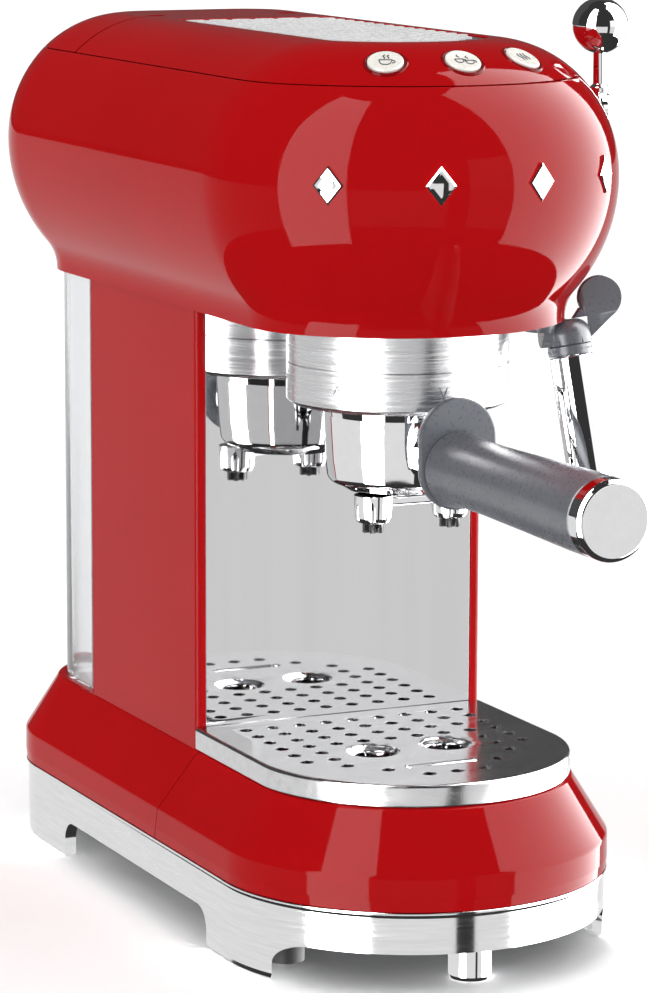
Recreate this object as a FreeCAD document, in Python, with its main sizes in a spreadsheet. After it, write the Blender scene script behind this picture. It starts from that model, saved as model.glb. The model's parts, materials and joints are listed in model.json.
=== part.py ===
"""Pump espresso machine as an assembly of separate pieces, in millimetres.

The machine's own frame: X to the right, Y to the back, Z up, floor at Z = 0, and Y = 0 on the face of the
column behind the cups. Every piece is then shifted by the same frame_shift, which centres the whole on its origin.
"""
import FreeCAD, Part
import math
import os
import re

import Sketcher
from FreeCAD import Placement, Rotation, Vector

SIZES = [
    # alias, value, what it is
    ("frame_shift_x", -5.1, "moves the pieces so that the origin is under the middle of the whole"),
    ("frame_shift_y", 10.9, "the same, front to back"),
    ("wall", 2.5, "moulded shell thickness"),
    ("gap", 0.3, "gap between pieces that don't touch"),
    # outline of the drip plate and base
    ("plate_half", 57.0, "half width of the drip plate"),
    ("plate_front", 113.8, "front of the drip plate, ahead of the column face"),
    ("plate_corner", 46.0, "corner radius of the drip plate"),
    ("plate_corner_depth", 55.0, "length of the rounded front"),
    ("base_rear", 167.0, "rear of the base outline"),
    ("rear_corner", 40.0, "corner radius at the rear"),
    # outline of the head at its lower edge
    ("head_half", 57.5, "half width of the head's lower edge"),
    ("head_front", 101.5, "front of the head's lower edge"),
    ("head_corner", 44.0, "front corner radius of the head"),
    ("head_corner_depth", 50.5, "length of the head's rounded front"),
    ("head_rear", 165.0, "rear of the head's lower edge"),
    # base heights and skirt
    ("foot_gap", 0.6, "metal feet stop this far above the floor"),
    ("ring_low", 14.4, "lower edge of the chrome ring between its feet"),
    ("ring_top", 29.0, "top of the chrome ring"),
    ("ring_out", 12.3, "chrome ring outside the plate outline"),
    ("lip_out", 13.2, "thin lip at the top of the ring"),
    ("skirt_out", 13.3, "red skirt outside the plate outline"),
    ("skirt_crease", 41.5, "height where the skirt turns inwards"),
    ("skirt_top", 62.0, "top of the skirt"),
    ("seam_low_y", 6.5, "tray seam at the bottom of the skirt"),
    ("seam_high_y", -3.0, "tray seam at the top of the skirt"),
    ("plate_top", 70.0, "top of the drip plate"),
    ("plate_sheet", 1.5, "sheet thickness of the drip plate"),
    ("hole_pitch", 10.5, "pitch of the drain holes"),
    ("hole_radius", 2.45, "drain hole radius"),
    ("first_row", 11.5, "first row of holes ahead of the column face"),
    ("cup_hole_x", 14.0, "large drain holes from the middle"),
    ("cup_hole_y", 58.5, "large drain holes ahead of the column face"),
    ("cup_hole_radius", 7.2, "large drain hole radius"),
    ("cup_bevel_radius", 9.5, "outer radius of its bevel"),
    ("slot_y", 84.0, "float slot ahead of the column face"),
    ("slot_half", 14.0, "half length of the float slot"),
    ("slot_radius", 2.3, "half width of the float slot"),
    # column and tank
    ("column_half", 56.5, "half width of the column"),
    ("column_back", 100.0, "rear edge of the column"),
    ("column_low", 60.2, "foot of the column"),
    ("mirror_half", 52.6, "half width of the splash panel"),
    ("tank_half", 54.2, "half width of the water tank"),
    ("tank_front", 102.6, "front wall of the tank"),
    ("tank_rear", 158.0, "rear wall of the tank"),
    ("tank_corner", 30.0, "rear corner radius of the tank"),
    ("tank_low", 60.4, "underside of the tank"),
    ("tank_high", 300.0, "rim of the tank"),
    ("tank_wall", 2.0, "tank wall thickness"),
    ("valve_y", 128.0, "tank valve behind the column face"),
    ("pump_y", 56.0, "pump behind the column face"),
    ("rear_port_z", 37.2, "height of the rear switch and cord inlet"),
    # head
    ("head_low", 220.4, "lower edge of the head"),
    ("bulge_z", 270.0, "widest height of the head"),
    ("bulge_out", 18.1, "bulge outside the lower edge"),
    ("bulge_low_radius", 60.0, "profile radius under the widest height"),
    ("bulge_high_radius", 49.0, "profile radius above the widest height"),
    ("flare_angle", 40.5, "where the hollow flare meets the bulge, in degrees"),
    ("stud_step", 27.0, "angle between the front studs, in degrees"),
    ("seam_z", 304.5, "seam between head and top cover"),
    ("crown_z", 317.3, "top of the cover around the cup rest"),
    ("recess_in", 27.5, "recess of the cup rest inside the outline"),
    ("recess_z", 315.2, "floor of the recess"),
    ("recess_rear", 78.0, "rear edge of the cup rest"),
    ("cover_rear", 100.8, "rear edge of the top cover"),
    ("lid_front", 103.0, "front edge of the tank lid"),
    ("lid_axis_y", 104.4, "hinge axis of the lid"),
    ("lid_axis_z", 314.6, "height of the lid's hinge axis"),
    # brew group
    ("group_y", -47.0, "axis of the brew group"),
    ("collar_radius", 38.8, "outer radius of the steel collar"),
    ("collar_low", 191.5, "lower edge of the collar"),
    ("bowl_radius", 27.3, "portafilter bowl at its rim"),
    ("bowl_foot_radius", 25.0, "portafilter bowl near its bottom"),
    ("bowl_low", 161.0, "underside of the bowl"),
    ("bowl_top", 197.6, "rim of the portafilter"),
    ("spout_x", 14.8, "spouts from the middle"),
    ("spout_y", -12.0, "spouts ahead of the group axis"),
    ("spout_radius", 6.7, "spout radius"),
    ("spout_low", 151.5, "lower end of the spouts"),
    ("nozzle_low", 148.0, "lower end of the star nozzles"),
    ("handle_z", 174.6, "height of the handle's axis"),
    ("guard_at", 45.0, "hand guard from the group axis"),
    ("guard_half", 14.3, "half width of the hand guard"),
    ("guard_rise", 10.0, "extra height of the hand guard"),
    ("guard_thick", 3.2, "hand guard thickness"),
    ("grip_root_radius", 12.4, "grip radius at the guard"),
    ("grip_end_radius", 13.4, "grip radius at its cap"),
    ("grip_end", 151.0, "end of the grip from the group axis"),
    ("handle_end", 158.0, "end of the cap from the group axis"),
    # steam lever, wand and buttons
    ("lever_y", -50.6, "lever axis"),
    ("lever_z", 291.0, "lever axis height"),
    ("lever_x", 76.0, "lever rod from the middle"),
    ("lever_rod_radius", 2.25, "lever rod radius"),
    ("lever_ball_z", 319.7, "centre of the lever's ball"),
    ("lever_ball_radius", 9.8, "radius of the lever's ball"),
    ("wand_x", 46.0, "wand swivel axis"),
    ("wand_y", -66.0, "wand swivel axis"),
    ("wand_turn", -14.7, "direction of the wand's elbow, in degrees"),
    ("wand_reach", 9.6, "elbow centre from the swivel axis"),
    ("elbow_z", 214.0, "elbow centre height"),
    ("elbow_radius", 8.0, "elbow radius"),
    ("wand_lean", 11.4, "lean of the wand, in degrees"),
    ("wand_lean_turn", -61.0, "direction in which the wand leans, in degrees"),
    ("sleeve_radius", 7.6, "wand sleeve radius"),
    ("sleeve_length", 57.0, "wand sleeve length"),
    ("button_radius", 6.2, "push button radius"),
    ("button_in", 6.0, "buttons inside the outline of the head"),
    ("button_spread", 27.5, "angle between the buttons, in degrees"),
    ("button_proud", 0.9, "buttons above the cover"),
]

doc = FreeCAD.newDocument("EspressoMachine")
sheet = doc.addObject("Spreadsheet::Sheet", "Sizes")
for row, (alias, value, note) in enumerate(SIZES, start=1):
    sheet.set(f"A{row}", note)
    sheet.set(f"B{row}", str(value))
    sheet.setAlias(f"B{row}", alias)
doc.recompute()

ALIASES = {alias for alias, value, note in SIZES}
PIECES = []


class Cells:
    """Reads the spreadsheet by alias, as in dim.wall."""

    def __getattr__(self, alias):
        return float(sheet.get(alias))


dim = Cells()


def bound(text):
    """The expression text with each alias pointing into the sheet."""
    return re.sub(r"(?<!Sizes\.)\b[a-z_]+", lambda word: "Sizes." + word[0] if word[0] in ALIASES else word[0],
                  str(text))


def number(text):
    """Value of a small expression of aliases, as the sheet has it now."""
    probe = getattr(doc, "Probe", None) or doc.addObject("App::FeaturePython", "Probe")
    if "value" not in probe.PropertiesList:
        probe.addProperty("App::PropertyFloat", "value")
    probe.setExpression("value", bound(text))
    probe.recompute()
    return probe.value


def bind_place(obj, x="0", y="0", z="0", shift=True):
    """Binds an object's position to the sheet, with the frame's shift on a finished piece."""
    obj.setExpression("Placement.Base.x", bound(f"{x} + frame_shift_x" if shift else x))
    obj.setExpression("Placement.Base.y", bound(f"{y} + frame_shift_y" if shift else y))
    obj.setExpression("Placement.Base.z", bound(z))


def finish(obj, label):
    """Gives a finished piece its label and lists it for export."""
    obj.Label = label
    PIECES.append(obj)
    return obj


def feature(label, shape):
    """A piece whose shape is worked out with Part's own functions, in the machine's frame."""
    part = doc.addObject("Part::Feature", label)
    part.Shape = shape
    base = part.Placement.Base
    bind_place(part, *(f"{value:.4f}" for value in base))
    return finish(part, label)


# ---- primitives and booleans bound to the sheet ----

def box(name, x, y, z):
    """A Part::Box between pairs of expressions, as in x=("-wall", "wall")."""
    solid = doc.addObject("Part::Box", name)
    for prop, (low, high) in zip(("Length", "Width", "Height"), (x, y, z)):
        solid.setExpression(prop, bound(f"({high}) - ({low})"))
    bind_place(solid, x[0], y[0], z[0], shift=False)
    return solid


def cylinder(name, radius, x, y, z, axis="Z"):
    """A Part::Cylinder; the pair of expressions among x, y, z is its span along the axis."""
    solid = doc.addObject("Part::Cylinder", name)
    spans = {"X": x, "Y": y, "Z": z}
    low, high = spans[axis]
    spans[axis] = low
    solid.setExpression("Radius", bound(radius))
    solid.setExpression("Height", bound(f"({high}) - ({low})"))
    turn = {"X": Rotation(Vector(0, 1, 0), 90), "Y": Rotation(Vector(1, 0, 0), -90), "Z": Rotation()}
    solid.Placement = Placement(Vector(), turn[axis])
    bind_place(solid, spans["X"], spans["Y"], spans["Z"], shift=False)
    return solid


def ball(name, radius, x, y, z):
    solid = doc.addObject("Part::Sphere", name)
    solid.setExpression("Radius", bound(radius))
    bind_place(solid, x, y, z, shift=False)
    return solid


def fused(name, *solids):
    whole = doc.addObject("Part::MultiFuse", name)
    whole.Shapes = list(solids)
    whole.Refine = True
    return whole


def cut(name, base, tool):
    left = doc.addObject("Part::Cut", name)
    left.Base = base
    left.Tool = tool
    left.Refine = True
    return left


def piece(label, solid):
    """Finishes a primitive or boolean made in the machine's frame, adding the frame's shift to its place."""
    place = {path.rsplit(".", 1)[-1]: text for path, text in solid.ExpressionEngine if "Placement" in path}
    bind_place(solid, place.get("x", "0"), place.get("y", "0"), place.get("z", "0"))
    return finish(solid, label)


# ---- PartDesign bodies ----

def new_sketch(body, name, role):
    sketch = body.newObject("Sketcher::SketchObject", name)
    plane = [item for item in body.Origin.OriginFeatures if item.Role == role][0]
    sketch.AttachmentSupport = [(plane, "")]
    sketch.MapMode = "FlatFace"
    return sketch


def pin_point(sketch, line, end, across, up):
    """Holds one end of a line at a pair of expressions."""
    for kind, text, axis in (("DistanceX", across, -2), ("DistanceY", up, -1)):
        if str(text) == "0":
            sketch.addConstraint(Sketcher.Constraint("PointOnObject", line, end, axis))
        else:
            index = sketch.addConstraint(Sketcher.Constraint(kind, -1, 1, line, end, number(text)))
            sketch.setExpression(f"Constraints[{index}]", bound(text))


def draw_polygon(sketch, corners):
    """Closed polygon through corners given as pairs of expressions."""
    spots = [Vector(number(across), number(up), 0) for across, up in corners]
    first = sketch.GeometryCount
    count = len(spots)
    for step in range(count):
        sketch.addGeometry(Part.LineSegment(spots[step], spots[(step + 1) % count]), False)
    for step in range(count):
        following = first + (step + 1) % count
        sketch.addConstraint(Sketcher.Constraint("Coincident", first + step, 2, following, 1))
    for step, (across, up) in enumerate(corners):
        pin_point(sketch, first + step, 1, across, up)


def turned(label, corners, x="0", y="0", z="0", along="Z", listed=True):
    """A body turned on a lathe: corners are (radius, height) from the piece's own origin."""
    body = doc.addObject("PartDesign::Body", label)
    sketch = new_sketch(body, label + "_profile", "XZ_Plane")
    draw_polygon(sketch, corners)
    spin = body.newObject("PartDesign::Revolution", label + "_turn")
    spin.Profile = sketch
    spin.ReferenceAxis = (sketch, ["V_Axis"])
    spin.Angle = 360
    turn = {"Z": Rotation(), "-Y": Rotation(Vector(1, 0, 0), 90), "X": Rotation(Vector(0, 1, 0), 90)}
    body.Placement = Placement(Vector(), turn[along])
    bind_place(body, x, y, z, shift=listed)
    return finish(body, label) if listed else body


def padded(label, role, corners, length, x="0", y="0", z="0"):
    """A body padded from a polygon drawn on one of its origin planes."""
    body = doc.addObject("PartDesign::Body", label)
    sketch = new_sketch(body, label + "_outline", role)
    draw_polygon(sketch, corners)
    pad = body.newObject("PartDesign::Pad", label + "_pad")
    pad.Profile = sketch
    pad.setExpression("Length", bound(length))
    bind_place(body, x, y, z)
    return finish(body, label)


# ---- shells that follow a rounded outline ----

class Outline:
    """Straight sides, a front of three arcs and two rear corners, walked anticlockwise from the front."""

    def __init__(self, half, front, corner, depth, rear, rear_corner):
        nose = (corner ** 2 - (half - corner) ** 2 - depth ** 2) / (2 * (corner - depth))
        nose_y = nose - front
        side_y = depth - front
        swing = math.degrees(math.atan2(half - corner, nose_y - side_y))
        self.nose = nose
        self.nose_y = nose_y
        back = rear - rear_corner
        self.spans = [
            ("arc", (0, nose_y), nose, -90 - swing, -90 + swing),
            ("arc", (half - corner, side_y), corner, -90 + swing, 0),
            ("line", (half, side_y), (half, back)),
            ("arc", (half - rear_corner, back), rear_corner, 0, 90),
            ("line", (half - rear_corner, rear), (rear_corner - half, rear)),
            ("arc", (rear_corner - half, back), rear_corner, 90, 180),
            ("line", (-half, back), (-half, side_y)),
            ("arc", (corner - half, side_y), corner, 180, 270 - swing),
        ]

    def slab(self, grow, low, high):
        """Solid plate of the outline moved outwards by grow, between two heights."""
        edges = []
        for kind, start, *rest in self.spans:
            if kind == "arc":
                radius, first, last = rest
                spots = [spot(start, radius + grow, angle, low) for angle in (first, (first + last) / 2, last)]
                edges.append(Part.Arc(*spots).toShape())
            else:
                out = outward(start, rest[0]) * grow
                edges.append(Part.makeLine(Vector(*start, low) + out, Vector(*rest[0], low) + out))
        return Part.Face(Part.Wire(edges)).extrude(Vector(0, 0, high - low))

    def rail(self, section):
        """Solid that carries a closed (outwards, height) section round the outline."""
        parts = []
        for kind, start, *rest in self.spans:
            face = section_face(section)
            if kind == "arc":
                radius, first, last = rest
                face.Placement = Placement(spot(start, radius, first, 0), Rotation(Vector(0, 0, 1), first))
                parts.append(face.revolve(Vector(*start, 0), Vector(0, 0, 1), last - first))
            else:
                out = outward(start, rest[0])
                angle = math.degrees(math.atan2(out.y, out.x))
                face.Placement = Placement(Vector(*start, 0), Rotation(Vector(0, 0, 1), angle))
                parts.append(face.extrude(Vector(*rest[0], 0) - Vector(*start, 0)))
        return parts[0].fuse(parts[1:]).removeSplitter()


def spot(centre, radius, angle, height):
    swing = math.radians(angle)
    return Vector(centre[0] + radius * math.cos(swing), centre[1] + radius * math.sin(swing), height)


def outward(start, end):
    """Unit vector to the right of the way from start to end."""
    along = Vector(end[0] - start[0], end[1] - start[1], 0).normalize()
    return Vector(along.y, -along.x, 0)


def section_face(section):
    """Face in the XZ plane through (out, up) points; four numbers are an arc through the first two."""
    edges = []
    before = Vector(section[0][0], 0, section[0][1])
    for step in list(section[1:]) + [section[0]]:
        after = Vector(step[-2], 0, step[-1])
        if len(step) == 4:
            edges.append(Part.Arc(before, Vector(step[0], 0, step[1]), after).toShape())
        else:
            edges.append(Part.makeLine(before, after))
        before = after
    return Part.Face(Part.Wire(edges))


def block(x, y, z):
    """A cutting block between pairs of numbers."""
    return Part.makeBox(x[1] - x[0], y[1] - y[0], z[1] - z[0], Vector(x[0], y[0], z[0]))


FAR = 400.0


def ahead_of(shape, y):
    return shape.common(block((-FAR, FAR), (-FAR, y), (-FAR, FAR)))


def behind(shape, y):
    return shape.common(block((-FAR, FAR), (y, FAR), (-FAR, FAR)))


base_line = Outline(dim.plate_half, dim.plate_front, dim.plate_corner, dim.plate_corner_depth,
                    dim.base_rear, dim.rear_corner)
head_line = Outline(dim.head_half, dim.head_front, dim.head_corner, dim.head_corner_depth,
                    dim.head_rear, dim.rear_corner)


# ---- base ----

def arch(low, high, top, radius, across):
    """Cutter with rounded upper corners between two places along Y, or along X, up to a height."""
    reach = 1.0
    wire = Part.Wire([
        Part.makeLine(Vector(low, 0, -reach), Vector(low, 0, top - radius)),
        Part.Arc(Vector(low, 0, top - radius), Vector(low + radius * 0.293, 0, top - radius * 0.293),
                 Vector(low + radius, 0, top)).toShape(),
        Part.makeLine(Vector(low + radius, 0, top), Vector(high - radius, 0, top)),
        Part.Arc(Vector(high - radius, 0, top), Vector(high - radius * 0.293, 0, top - radius * 0.293),
                 Vector(high, 0, top - radius)).toShape(),
        Part.makeLine(Vector(high, 0, top - radius), Vector(high, 0, -reach)),
        Part.makeLine(Vector(high, 0, -reach), Vector(low, 0, -reach)),
    ])
    solid = Part.Face(wire).extrude(Vector(0, across[1] - across[0], 0))
    solid.translate(Vector(0, across[0], 0))
    return solid


def make_base_ring():
    """Chrome ring whose lower edge is cut away between four feet."""
    inner = dim.ring_out - dim.wall
    foot_inner = inner - 2.0
    ring = base_line.rail([
        (foot_inner, dim.foot_gap), (dim.ring_out, dim.foot_gap), (dim.ring_out, dim.ring_top - 1.6),
        (dim.lip_out, dim.ring_top - 0.9), (dim.lip_out, dim.ring_top), (inner, dim.ring_top),
        (inner, dim.ring_low), (foot_inner, dim.ring_low)])
    flare = 13.0
    side = arch(-39.0, 138.0, dim.ring_low, flare, (-FAR, FAR))
    side.rotate(Vector(0, 0, 0), Vector(0, 0, 1), 90)
    front = arch(-64.0, 64.0, dim.ring_low, flare * 0.7, (-FAR, -74.0))
    back = arch(-36.0, 36.0, dim.ring_low, flare, (140.0, FAR))
    feature("base_ring", ring.cut([side, front, back]))


FOOT_SPOTS = [(sign * 49.0, y) for sign in (-1, 1) for y in (-62.0, 148.0)]


def make_feet():
    """Rubber pads under the corners, and the round chrome leg at the front."""
    pads = [Part.makeCylinder(6.5, 8.0, Vector(x, y, 0)) for x, y in FOOT_SPOTS]
    feature("foot_pads", Part.makeCompound(pads))
    leg = cylinder("leg_tube", "7.5", "0", "7.0 - plate_front", ("0", "ring_low + 1.6"))
    piece("front_leg", leg)


def make_base_floor():
    """Lower cover of the base, with a boss over each pad, and its screws."""
    inner = dim.ring_out - dim.wall - dim.gap
    floor_low = dim.ring_low + 1.6
    floor = base_line.slab(inner, floor_low, floor_low + dim.wall)
    bosses = [Part.makeCylinder(8.0, floor_low - 8.0 + 0.5, Vector(x, y, 8.0)) for x, y in FOOT_SPOTS]
    feature("base_floor", floor.fuse(bosses).removeSplitter())
    screws = []
    for sign in (-1, 1):
        for y in (-20.0, 40.0, 100.0):
            screws.append(Part.makeCylinder(3.2, 1.8, Vector(sign * 38.0, y, floor_low - 1.8)))
    feature("base_screws", Part.makeCompound(screws))


def make_base_frame():
    """Inner frame that carries the tray and the column."""
    inner = dim.ring_out - dim.wall - dim.gap
    low = dim.ring_low + 1.6 + dim.wall
    high = dim.ring_top - dim.gap
    wall = base_line.rail([(inner - 3.0, low), (inner, low), (inner, high), (inner - 3.0, high)])
    feature("base_frame", wall.fuse(base_line.slab(inner - 1.0, high - dim.wall, high)).removeSplitter())


def skirt():
    """Red skirt of the base, a slope over an upright band."""
    low = dim.ring_top + 0.2
    out = dim.skirt_out
    inner = out - dim.wall
    return base_line.rail([
        (out - 0.3, low), (out, low + 4.0), (out - 0.1, dim.skirt_crease - 2.5, out - 1.6, dim.skirt_crease + 2.2),
        (0.2, dim.skirt_top - 0.4), (-0.6, dim.skirt_top), (-3.0, dim.skirt_top), (-3.0, dim.skirt_top - 2.0),
        (out - 4.4, dim.skirt_crease + 0.8), (inner, dim.skirt_crease - 3.4), (inner - 0.2, low)])


def seam_block(offset):
    """Half space ahead of the slanted seam between tray and base."""
    low = dim.ring_top
    slope = (dim.seam_high_y - dim.seam_low_y) / (dim.skirt_top - low)
    bottom = dim.seam_low_y - slope * (low + FAR) + offset
    top = dim.seam_high_y + slope * (FAR - dim.skirt_top) + offset
    corners = [(-FAR, -2 * FAR, -FAR), (-FAR, bottom, -FAR), (-FAR, top, FAR), (-FAR, -2 * FAR, FAR)]
    return Part.Face(Part.makePolygon(corners + corners[:1])).extrude(Vector(2 * FAR, 0, 0))


def make_base_housing():
    """Fixed rear part of the skirt, with the deck under column and tank."""
    rear_skirt = skirt().cut(seam_block(0.0))
    deck_top = dim.column_low - 0.2
    deck = behind(base_line.slab(-2.0, deck_top - dim.wall, deck_top), -0.4)
    riser = block((-54.0, 54.0), (-0.4, 1.6), (dim.ring_top + 0.2, deck_top - 1.0))
    seat_hole = Part.makeCylinder(9.0, 20.0, Vector(0, dim.valve_y, deck_top - 10.0))
    hose_hole = Part.makeCylinder(7.0, 20.0, Vector(0, dim.pump_y, deck_top - 10.0))
    inlet_hole = Part.makeCylinder(6.6, 30.0, Vector(-33.0, 165.0, dim.rear_port_z), Vector(0, 1, 0))
    switch_hole = block((22.0, 44.0), (165.0, 195.0), (dim.rear_port_z - 5.7, dim.rear_port_z + 5.7))
    column_space = block((-dim.column_half - 0.1, dim.column_half + 0.1), (-0.7, dim.column_back + 0.2),
                         (deck_top, dim.skirt_top + 1.0))
    tank_space = block((-dim.tank_half - 0.3, dim.tank_half + 0.3), (dim.column_back, dim.tank_rear - 10.0),
                       (deck_top, dim.skirt_top + 1.0))
    housing = rear_skirt.fuse([deck, riser])
    housing = housing.cut([seat_hole, hose_hole, inlet_hole, switch_hole, column_space, tank_space])
    feature("base_housing", housing.removeSplitter())


def make_tray():
    """Removable tray: the red front skirt and the bin inside it."""
    feature("tray_front", skirt().common(seam_block(-0.5)))
    low = dim.ring_top + 0.6
    bin_top = dim.skirt_top - 0.3
    rear = -3.0
    wall = dim.tank_wall
    outer = ahead_of(base_line.slab(-4.6, low, bin_top), rear)
    inner = ahead_of(base_line.slab(-4.6 - wall, low + wall, bin_top + 10.0), rear - wall)
    tongue = ahead_of(base_line.slab(dim.skirt_out - dim.wall - 0.5, low, low + wall), rear)
    feature("tray_bin", outer.fuse(tongue).cut(inner).removeSplitter())


def plate_holes():
    """Centres of the small drain holes."""
    pitch = dim.hole_pitch
    spots = []
    for row in range(7):
        columns = range(-4, 5) if row < 4 else (-4, -3, 3, 4) if row < 6 else (-3, 3)
        spots += [(column * pitch, -dim.first_row - row * pitch) for column in columns]
    spots += [(-2 * pitch, -85.4), (2 * pitch, -85.4), (-pitch, -96.0), (0, -96.2), (pitch, -96.0)]
    return spots


def slot_solid(half, radius, low, high):
    """Round-ended bar along X at the float slot."""
    y = -dim.slot_y
    solid = block((-half + radius, half - radius), (y - radius, y + radius), (low, high))
    ends = [Part.makeCylinder(radius, high - low, Vector(sign * (half - radius), y, low)) for sign in (-1, 1)]
    return solid.fuse(ends).removeSplitter()


def make_drip_plate():
    """Steel drip plate: a sheet with a deep rim, drain holes and two bevelled cup holes."""
    low = dim.skirt_top + 0.3
    top = dim.plate_top
    rim = ahead_of(base_line.rail([
        (-2.0, low), (-0.2, low), (0.0, low + 0.6), (0.0, top - 1.2), (-0.35, top - 0.35, -1.2, top),
        (-2.0, top)]), -0.8)
    sheet_low = top - dim.plate_sheet
    top_sheet = ahead_of(base_line.slab(-1.5, sheet_low, top), -0.8)
    back = block((-56.0, 56.0), (-2.8, -0.8), (low, top - 0.5))
    plate = rim.fuse([top_sheet, back])
    holes = [Part.makeCylinder(dim.hole_radius, 6.0, Vector(x, y, top - 4.0)) for x, y in plate_holes()]
    for sign in (-1, 1):
        place = Vector(sign * dim.cup_hole_x, -dim.cup_hole_y, sheet_low - 1.0)
        holes.append(Part.makeCylinder(dim.cup_hole_radius, 6.0, place))
        place = Vector(sign * dim.cup_hole_x, -dim.cup_hole_y, sheet_low + 0.3)
        holes.append(Part.makeCone(dim.cup_hole_radius, dim.cup_bevel_radius, top - sheet_low - 0.3, place))
    holes.append(slot_solid(dim.slot_half, dim.slot_radius, sheet_low - 1.0, top + 1.0))
    feature("drip_plate", plate.cut(holes).removeSplitter())


def make_float():
    """Level float: a bar in the plate's slot on a hollow float in the bin."""
    bar = slot_solid(dim.slot_half - 0.5, dim.slot_radius - 0.5, 50.0, dim.plate_top - 0.2)
    body = block((-16.0, 16.0), (-dim.slot_y - 7.0, -dim.slot_y + 7.0), (36.0, 52.0))
    feature("float_indicator", bar.fuse(body).removeSplitter())


# ---- column ----

def make_column():
    """Column shell open at the back, with narrow lips beside the splash panel."""
    z = ("column_low", "head_low - 0.2")
    outer = box("column_block", ("-column_half", "column_half"), ("-0.5", "column_back"), z)
    through = ("column_low - 1", "head_low + 1")
    hollow = box("column_hollow", ("wall - column_half", "column_half - wall"), ("3.9", "column_back + 1"),
                 through)
    window = box("column_window", ("-0.15 - mirror_half", "mirror_half + 0.15"), ("-1", "1.3"), through)
    body = cut("column_open", outer, fused("column_spaces", hollow, window))
    doc.recompute()
    rounded = doc.addObject("Part::Fillet", "column_shell")
    rounded.Base = body
    corners = []
    for index, edge in enumerate(body.Shape.Edges, start=1):
        box_of = edge.BoundBox
        upright = box_of.ZLength > 100 and box_of.XLength < 0.01 and box_of.YLength < 0.01
        if upright and abs(box_of.YMin + 0.5) < 0.01 and abs(abs(box_of.XMin) - dim.column_half) < 0.01:
            corners.append((index, 1.8, 1.8))
    rounded.Edges = corners
    piece("column_shell", rounded)
    piece("splash_panel", box("splash_sheet", ("-mirror_half", "mirror_half"), ("0", "1.2"), z))
    piece("column_back", box("back_sheet", ("wall + 0.2 - column_half", "column_half - wall - 0.2"),
                             ("column_back - 2.5", "column_back - 0.3"), z))


# ---- head ----

def bulge_points():
    """Main points of the head's profile, outer and inner, as (out, up)."""
    swing = math.radians(dim.flare_angle)
    half_swing = swing / 2
    low_radius = dim.bulge_low_radius
    low_centre = dim.bulge_out - low_radius
    end_out = low_centre + low_radius * math.cos(swing)
    flare = end_out / (1 - math.cos(swing))
    flare_z = dim.bulge_z - low_radius * math.sin(swing) - flare * math.sin(swing)
    high_centre = dim.bulge_out - dim.bulge_high_radius

    def on_flare(angle, thick):
        radius = flare + thick
        return (flare - radius * math.cos(angle), flare_z + radius * math.sin(angle))

    def on_low(angle, thick):
        radius = low_radius - thick
        return (low_centre + radius * math.cos(angle), dim.bulge_z - radius * math.sin(angle))

    def on_high(height, thick):
        radius = dim.bulge_high_radius - thick
        return (high_centre + math.sqrt(radius ** 2 - (height - dim.bulge_z) ** 2), height)

    return swing, half_swing, on_flare, on_low, on_high


def make_head_shell():
    """Bulging shell of the head, open above and below."""
    swing, half_swing, on_flare, on_low, on_high = bulge_points()
    wall = dim.wall
    top = dim.seam_z - 0.25
    middle = (dim.bulge_z + top) / 2
    section = [
        (0.0, dim.head_low), on_flare(0, 0), on_flare(half_swing, 0) + on_flare(swing, 0),
        on_low(half_swing, 0) + on_low(0, 0), on_high(middle, 0) + on_high(top, 0), on_high(top, wall),
        on_high(middle, wall) + on_low(0, wall), on_low(half_swing, wall) + on_low(swing, wall),
        on_flare(half_swing, wall) + on_flare(0, wall), (-wall, dim.head_low)]
    shell = head_line.rail(section)
    hub_hole = Part.makeCylinder(5.0, 30.0, Vector(dim.head_half, dim.lever_y, dim.lever_z), Vector(1, 0, 0))
    feature("head_shell", shell.cut(hub_hole))


def crown_circle():
    """Radius and centre height of the top's profile, level where the cup rest's recess starts."""
    low = dim.seam_z + 0.25
    seam_out = (dim.bulge_out - dim.bulge_high_radius
                + math.sqrt(dim.bulge_high_radius ** 2 - (low - dim.bulge_z) ** 2))
    run = seam_out + dim.recess_in
    rise = dim.crown_z - low
    radius = (run ** 2 + rise ** 2) / (2 * rise)
    return radius, dim.crown_z - radius


def crown_height(out):
    radius, foot = crown_circle()
    return foot + math.sqrt(radius ** 2 - (out + dim.recess_in) ** 2)


def dome(inner_edge, floor_low):
    """Ring of the domed top from the seam in to a given distance inside the outline."""
    swing, half_swing, on_flare, on_low, on_high = bulge_points()
    wall = dim.wall
    whole_radius, foot = crown_circle()

    def crown(out, thick):
        return (out, foot + math.sqrt((whole_radius - thick) ** 2 - (out + dim.recess_in) ** 2))

    low = dim.seam_z + 0.25
    edge = -inner_edge
    section = [
        on_high(low, 0), crown(edge / 2, 0) + crown(edge, 0), (edge, floor_low), (edge + wall, floor_low),
        crown(edge + wall, wall), crown(edge / 2, wall) + on_high(low, wall)]
    return head_line.rail(section)


def button_frames():
    """Position and rotation of each button on the domed front."""
    radius, crown_foot = crown_circle()
    height = crown_height(-dim.button_in)
    tilt = math.degrees(math.atan2(dim.recess_in - dim.button_in, height - crown_foot))
    frames = []
    for step in (-1, 0, 1):
        angle = -90 + step * dim.button_spread
        place = spot((0, head_line.nose_y), head_line.nose - dim.button_in, angle, height)
        turn = Rotation(Vector(0, 0, 1), angle).multiply(Rotation(Vector(0, 1, 0), tilt))
        frames.append(Placement(place, turn))
    return frames


def placed(shape, frame):
    shape.Placement = frame
    return shape


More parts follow.
